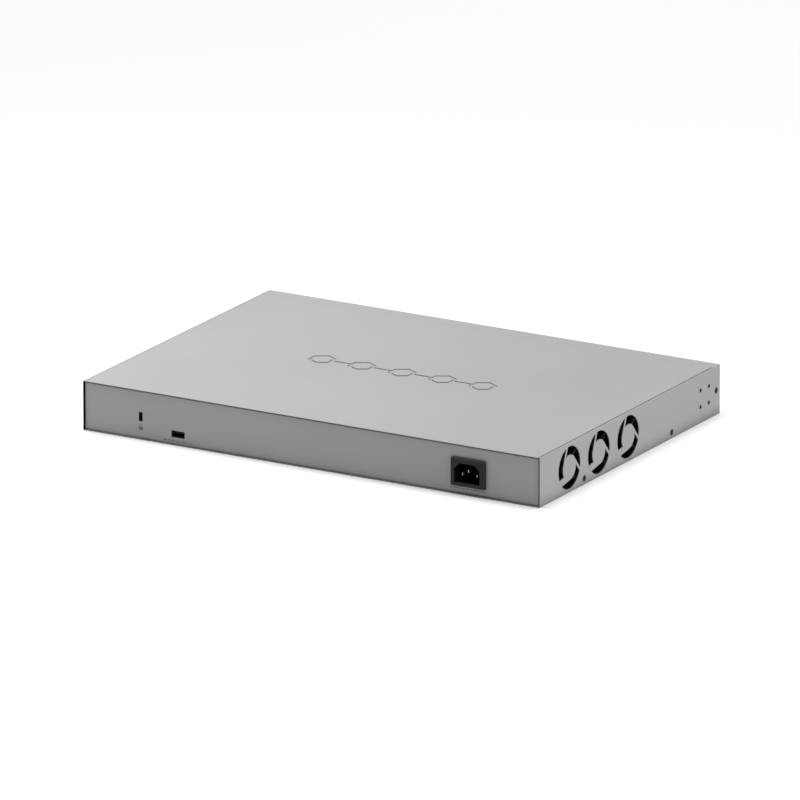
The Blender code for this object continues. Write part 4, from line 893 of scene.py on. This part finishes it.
def chip_rows(name, spots, made):
    """A batch of small chip parts, each a rounded block on the board."""
    parts = []
    for x, y, turned in spots:
        a, b = (1.0, 0.5) if turned else (0.5, 1.0)
        low, high = (x - a * MM, y - b * MM), (x + a * MM, y + b * MM)
        parts.append(block("part", (*low, board_top + 0.02 * MM), (*high, board_top + 0.55 * MM)))
    done(bevel_edges(joined(name, parts), 0.06, 1), made)


ceramic = grained("ceramic_tan", (0.36, 0.25, 0.15), (0.44, 0.31, 0.19), 0.45, grain=500, depth=0.01)
dice = random.Random(11)
rows = [(0.105 + 0.0045 * i, -0.0235 + 0.0005 * dice.random(), i % 2) for i in range(16)]
rows += [(0.119 + 0.0035 * i, -0.0595 + 0.0006 * dice.random(), i % 3 == 0) for i in range(9)]
chip_rows("chip_capacitors", rows, ceramic)
rows = [(-0.125 + 0.006 * i, -0.091 + 0.0005 * dice.random(), i % 2) for i in range(24)]
rows += [(0.004 + 0.0048 * i, 0.063, i % 2) for i in range(10)]
chip_rows("chip_resistors", rows, chip_resin)

# ------------------------------------------------------------------ copper ports
# Three stacked blocks of eight modular jacks: black resin housings in tin-plated shields, with
# eight gold contacts in each mouth and two indicator windows beside each latch notch.
refinish([f"jack_housing_{n}" for n in (1, 2, 3)] + ["sfp_connector"], tongue_black, 0.12)
refinish([f"jack_shield_{n}" for n in (1, 2, 3)] + ["sfp_cage"], tin, 0.12)


def jack_comb():
    """Eight sprung contacts, rising from a mouth's floor; x = 0 is its middle, z = 0 its floor."""
    wires = []
    for number in range(8):
        x = (number - 3.5) * 1.02 * MM
        wire = block("wire", (x - 0.17 * MM, 2.2 * MM, 0.15 * MM), (x + 0.17 * MM, 3.4 * MM, 0.4 * MM))
        edit(wire)
        pick(wire, lambda f: f.normal.y > 0.9)
        for step in ((0, 4.2 * MM, 1.9 * MM), (0, 2.2 * MM, 1.4 * MM), (0, 0.8 * MM, 0.9 * MM)):
            extrude(step)
        leave()
        wires.append(wire)
    return bevel_edges(joined("comb", wires), 0.05, 1, 50)


comb = jack_comb()
mouth_h, notch_h, row_half = 7.2 * MM, 2.4 * MM, 1.0 * MM
upside_down = Matrix.Diagonal((1, 1, -1, 1))
glow_green = grained("indicator_green", (0.30, 0.55, 0.30), (0.36, 0.62, 0.35), 0.2, grain=300, depth=0.004)
glow_amber = grained("indicator_amber", (0.70, 0.48, 0.16), (0.76, 0.54, 0.20), 0.2, grain=300, depth=0.004)
port_xs = []
for number in (1, 2, 3):
    low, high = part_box(f"jack_housing_{number}")
    middle_x, middle_z = (low.x + high.x) / 2, (low.z + high.z) / 2
    combs, greens, ambers = [], [], []
    for column in range(4):
        x = middle_x + (column - 1.5) * 14 * MM
        port_xs.append(x)
        combs.append(copied(comb, (x, low.y, middle_z + row_half)))
        combs.append(copied(comb, (x, low.y, middle_z - row_half), upside_down))
        for way in (-1, 1):
            edge_z = middle_z + way * (row_half + mouth_h)
            z0, z1 = sorted((edge_z + way * 0.35 * MM, edge_z + way * (notch_h - 0.3 * MM)))
            for side, bag in ((-1, greens), (1, ambers)):
                x0, x1 = sorted((x + side * 3.4 * MM, x + side * 5.8 * MM))
                bag.append(block("window", (x0, low.y - 0.12 * MM, z0), (x1, low.y + 0.5 * MM, z1)))
    done(joined(f"jack_contacts_{number}", combs), gold)
    done(bevel_edges(joined(f"jack_link_windows_{number}", greens), 0.1), glow_green)
    done(bevel_edges(joined(f"jack_speed_windows_{number}", ambers), 0.1), glow_amber)
bpy.data.objects.remove(comb)


def number_mesh(text, x, z, size, face):
    """A printed number on the port panel, readable from in front."""
    bpy.ops.object.select_all(action="DESELECT")
    bpy.ops.object.text_add(location=(0, 0, 0))
    label = bpy.context.object
    label.data.body = text
    label.data.size = size
    label.data.align_x = "CENTER"
    label.data.align_y = "CENTER"
    label.data.extrude = ink_thick
    bpy.ops.object.convert(target="MESH")
    label = bpy.context.object
    label.location = (x, face, z)
    label.rotation_euler = (math.pi / 2, 0, 0)
    return place_in_mesh(label)


labels = []
for index, x in enumerate(port_xs):
    labels.append(number_mesh(str(2 * index + 1), x, 36.0 * MM, 2.6 * MM, front_face))
    labels.append(number_mesh(str(2 * index + 2), x, 4.6 * MM, 2.6 * MM, front_face))
done(joined("port_numbers", labels), ink, smooth=0)

cage_low, cage_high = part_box("sfp_cage")
cage_x, cage_y = (cage_low.x + cage_high.x) / 2, cage_low.y
labels = []
for index, (side, z) in enumerate(((-1, 36.0), (-1, 4.6), (1, 36.0), (1, 4.6))):
    labels.append(number_mesh(str(25 + index), cage_x + side * 7.5 * MM, z * MM, 2.6 * MM, front_face))
done(joined("module_numbers", labels), ink, smooth=0)

# ------------------------------------------------------------------ module cage's springs
# Tempered steel fingers round the cage's mouth. They bear on the panel's cut-out and earth the
# cage, and a latch tongue stands in each mouth's floor.


def finger(x, z, way):
    """A bowed finger on the cage's top (way 1) or a latch tongue on a mouth's floor (way 0)."""
    low = (x - 0.9 * MM, cage_y + 0.5 * MM, z)
    strip = block("finger", low, (x + 0.9 * MM, cage_y + 1.1 * MM, z + 0.12 * MM))
    edit(strip)
    pick(strip, lambda f: f.normal.y > 0.9)
    for rise in (0.22, 0.06, -0.22) if way else (0.35, 0.35, 0.1):
        extrude((0, (1.1 if way else 1.8) * MM, rise * MM))
    leave()
    return strip


fingers = [finger(cage_x + (i - 4.5) * 3.0 * MM, cage_high.z + 0.02 * MM, 1) for i in range(10)]
for side in (-1, 1):
    for z in (cage_low.z + 0.8 * MM, cage_high.z - 0.8 * MM - 9.4 * MM):
        fingers.append(finger(cage_x + side * 7.5 * MM, z + 0.01 * MM, 0))
done(joined("cage_fingers", fingers), tin)

# ------------------------------------------------------------------ indicators and buttons
# A clear acrylic light guide with a prong in each opening, a grey mode button and a recessed
# reset button, each on its own switch.
guide, shader = material("clear_acrylic", 0.12, colour=(0.86, 0.88, 0.88))
shader.inputs["IOR"].default_value = 1.49
cloudy = node(guide, "TexNoise", Vector=place_of(guide), Scale=300.0, Detail=2.0).outputs["Fac"]
bump(guide, shader, cloudy, 0.01 * MM)
refinish(("light_pipe",), guide, 0.1)
button_grey = grained(
    "button_resin_grey", (0.20, 0.20, 0.205), (0.24, 0.24, 0.245), 0.42, grain=900, depth=0.008
)
refinish(("led_mode_button",), button_grey, 0.15)
refinish(("reset_button",), tongue_black)
light_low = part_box("light_pipe")[0]
legend = []
for index in range(5):
    x, z = light_low.x + (2 + 1.2 + 6 * index) * MM, light_low.z - 1.2 * MM
    for stroke in range(index % 3 + 2):
        start = x - MM + 0.7 * stroke * MM
        legend.append(print_bar(start, start + 0.35 * MM, z - 1.1 * MM, z, front_face))
for name, reach in (("led_mode_button", 4.4), ("reset_button", 3.0)):
    low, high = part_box(name)
    x, z = (low.x + high.x) / 2, (low.z + high.z) / 2 - reach * MM
    legend.append(print_bar(x - 1.5 * MM, x + 1.5 * MM, z - 0.3 * MM, z, front_face))
done(joined("panel_legend", legend), ink, smooth=0)

# ------------------------------------------------------------------ power supply
# The large parts on the supply's board: transformer, line choke, two bulk capacitors and two
# finned sinks, over a sheet of insulating film.
refinish(("supply_transformer",), ferrite, 0.3)
refinish(("line_choke",), enamel)
can_sleeve = grained(
    "capacitor_sleeve_black", (0.016, 0.016, 0.020), (0.024, 0.024, 0.030), 0.28, grain=500, depth=0.005
)
refinish(("bulk_capacitor_1", "bulk_capacitor_2"), can_sleeve, 0.3)
supply_low, supply_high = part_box("supply_board")
film_yellow = grained(
    "film_capacitor_yellow", (0.62, 0.42, 0.05), (0.72, 0.50, 0.08), 0.35, grain=400, depth=0.006
)
disc_blue = grained("disc_capacitor_blue", (0.02, 0.10, 0.30), (0.03, 0.14, 0.38), 0.4, grain=500, depth=0.02)
x, y = supply_low.x + 13 * MM, supply_high.y - 16 * MM
on_board("line_film_capacitor", x, y, 6 * MM, 11 * MM, 15 * MM, 1.2 * MM, film_yellow)
x, y = supply_low.x + 14 * MM, supply_low.y + 14 * MM
on_board("bridge_rectifier", x, y, 2.5 * MM, 9 * MM, 14 * MM, 0.6 * MM, chip_resin)
for index in range(4):
    x, y = supply_high.x - 14 * MM, supply_low.y + (14 + 11.5 * index) * MM
    can(f"output_capacitor_{index + 1}", x, y, 4.6 * MM, 18 * MM, can_sleeve)
for index in range(2):
    x, y, z = supply_high.x - (44 + 14 * index) * MM, supply_high.y - 9 * MM, board_top + 6 * MM
    parts = [bevel_edges(rod("disc", (x, y - 1.6 * MM, z), (x, y + 1.6 * MM, z), 4 * MM, 36), 1.2, 4, 60)]
    for leg_x in (x - 2.5 * MM, x + 2.5 * MM):
        parts.append(rod("leg", (leg_x, y, board_top), (leg_x, y, z), 0.3 * MM, 10))
    done(joined(f"earth_capacitor_{index + 1}", parts), disc_blue)
x, z, start, end = supply_low.x + 26 * MM, board_top + 4 * MM, supply_low.y + 30 * MM, supply_low.y + 50 * MM
fuse = rod("fuse_glass", (x, start, z), (x, end, z), 2.4 * MM, 32)
glass, shader = material("fuse_glass", 0.05, colour=(0.85, 0.87, 0.86))
shader.inputs["Transmission Weight"].default_value = 0.85
ripple = node(glass, "TexNoise", Vector=place_of(glass), Scale=150.0, Detail=1.0).outputs["Fac"]
bump(glass, shader, ripple, 0.01 * MM)
done(bevel_edges(fuse, 0.2), glass)
caps = []
for y in (supply_low.y + 29.5 * MM, supply_low.y + 45 * MM):
    caps.append(bevel_edges(rod("cap", (x, y, z), (x, y + 5.5 * MM, z), 2.65 * MM, 32), 0.4))
    low, high = (x - 1.2 * MM, y + 1.6 * MM, board_top), (x + 1.2 * MM, y + 3.6 * MM, board_top + 1.8 * MM)
    caps.append(block("clip", low, high))
done(joined("fuse_caps_and_clips", caps), tin)
for stage, side in (("primary", -1), ("output", 1)):
    low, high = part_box(f"{stage}_heatsink")
    face = (low.x + high.x) / 2 + side * 1.05 * MM
    x0, x1 = sorted((face, face + side * 4.3 * MM))
    for index in range(2):
        y = low.y + (14 + 22 * index) * MM
        body = block("device", (x0, y - 5 * MM, board_top + 2.5 * MM), (x1, y + 5 * MM, board_top + 5.4 * MM))
        parts = [bevel_edges(body, 0.4)]
        for leg_y in (y - 2.5 * MM, y, y + 2.5 * MM):
            foot = ((x0 + x1) / 2 - 0.3 * MM, leg_y - 0.4 * MM, board_top)
            parts.append(block("leg", foot, ((x0 + x1) / 2 + 0.3 * MM, leg_y + 0.4 * MM, board_top + 3 * MM)))
        done(joined(f"{stage}_transistor_{index + 1}", parts), chip_resin)
film = grained("insulating_film_amber", (0.62, 0.46, 0.14), (0.70, 0.54, 0.18), 0.3, grain=200, depth=0.01)
refinish(("insulator_sheet",), film)
wires = {
    "mains_lead_line": (0.15, 0.055, 0.025),
    "mains_lead_neutral": (0.025, 0.09, 0.36),
    "earth_lead": (0.10, 0.30, 0.05),
}
for name, colour in wires.items():
    low, high = (tuple(share * c for c in colour) for share in (0.9, 1.1))
    refinish((name,), grained(f"{name}_insulation", low, high, 0.35, grain=600, depth=0.004))
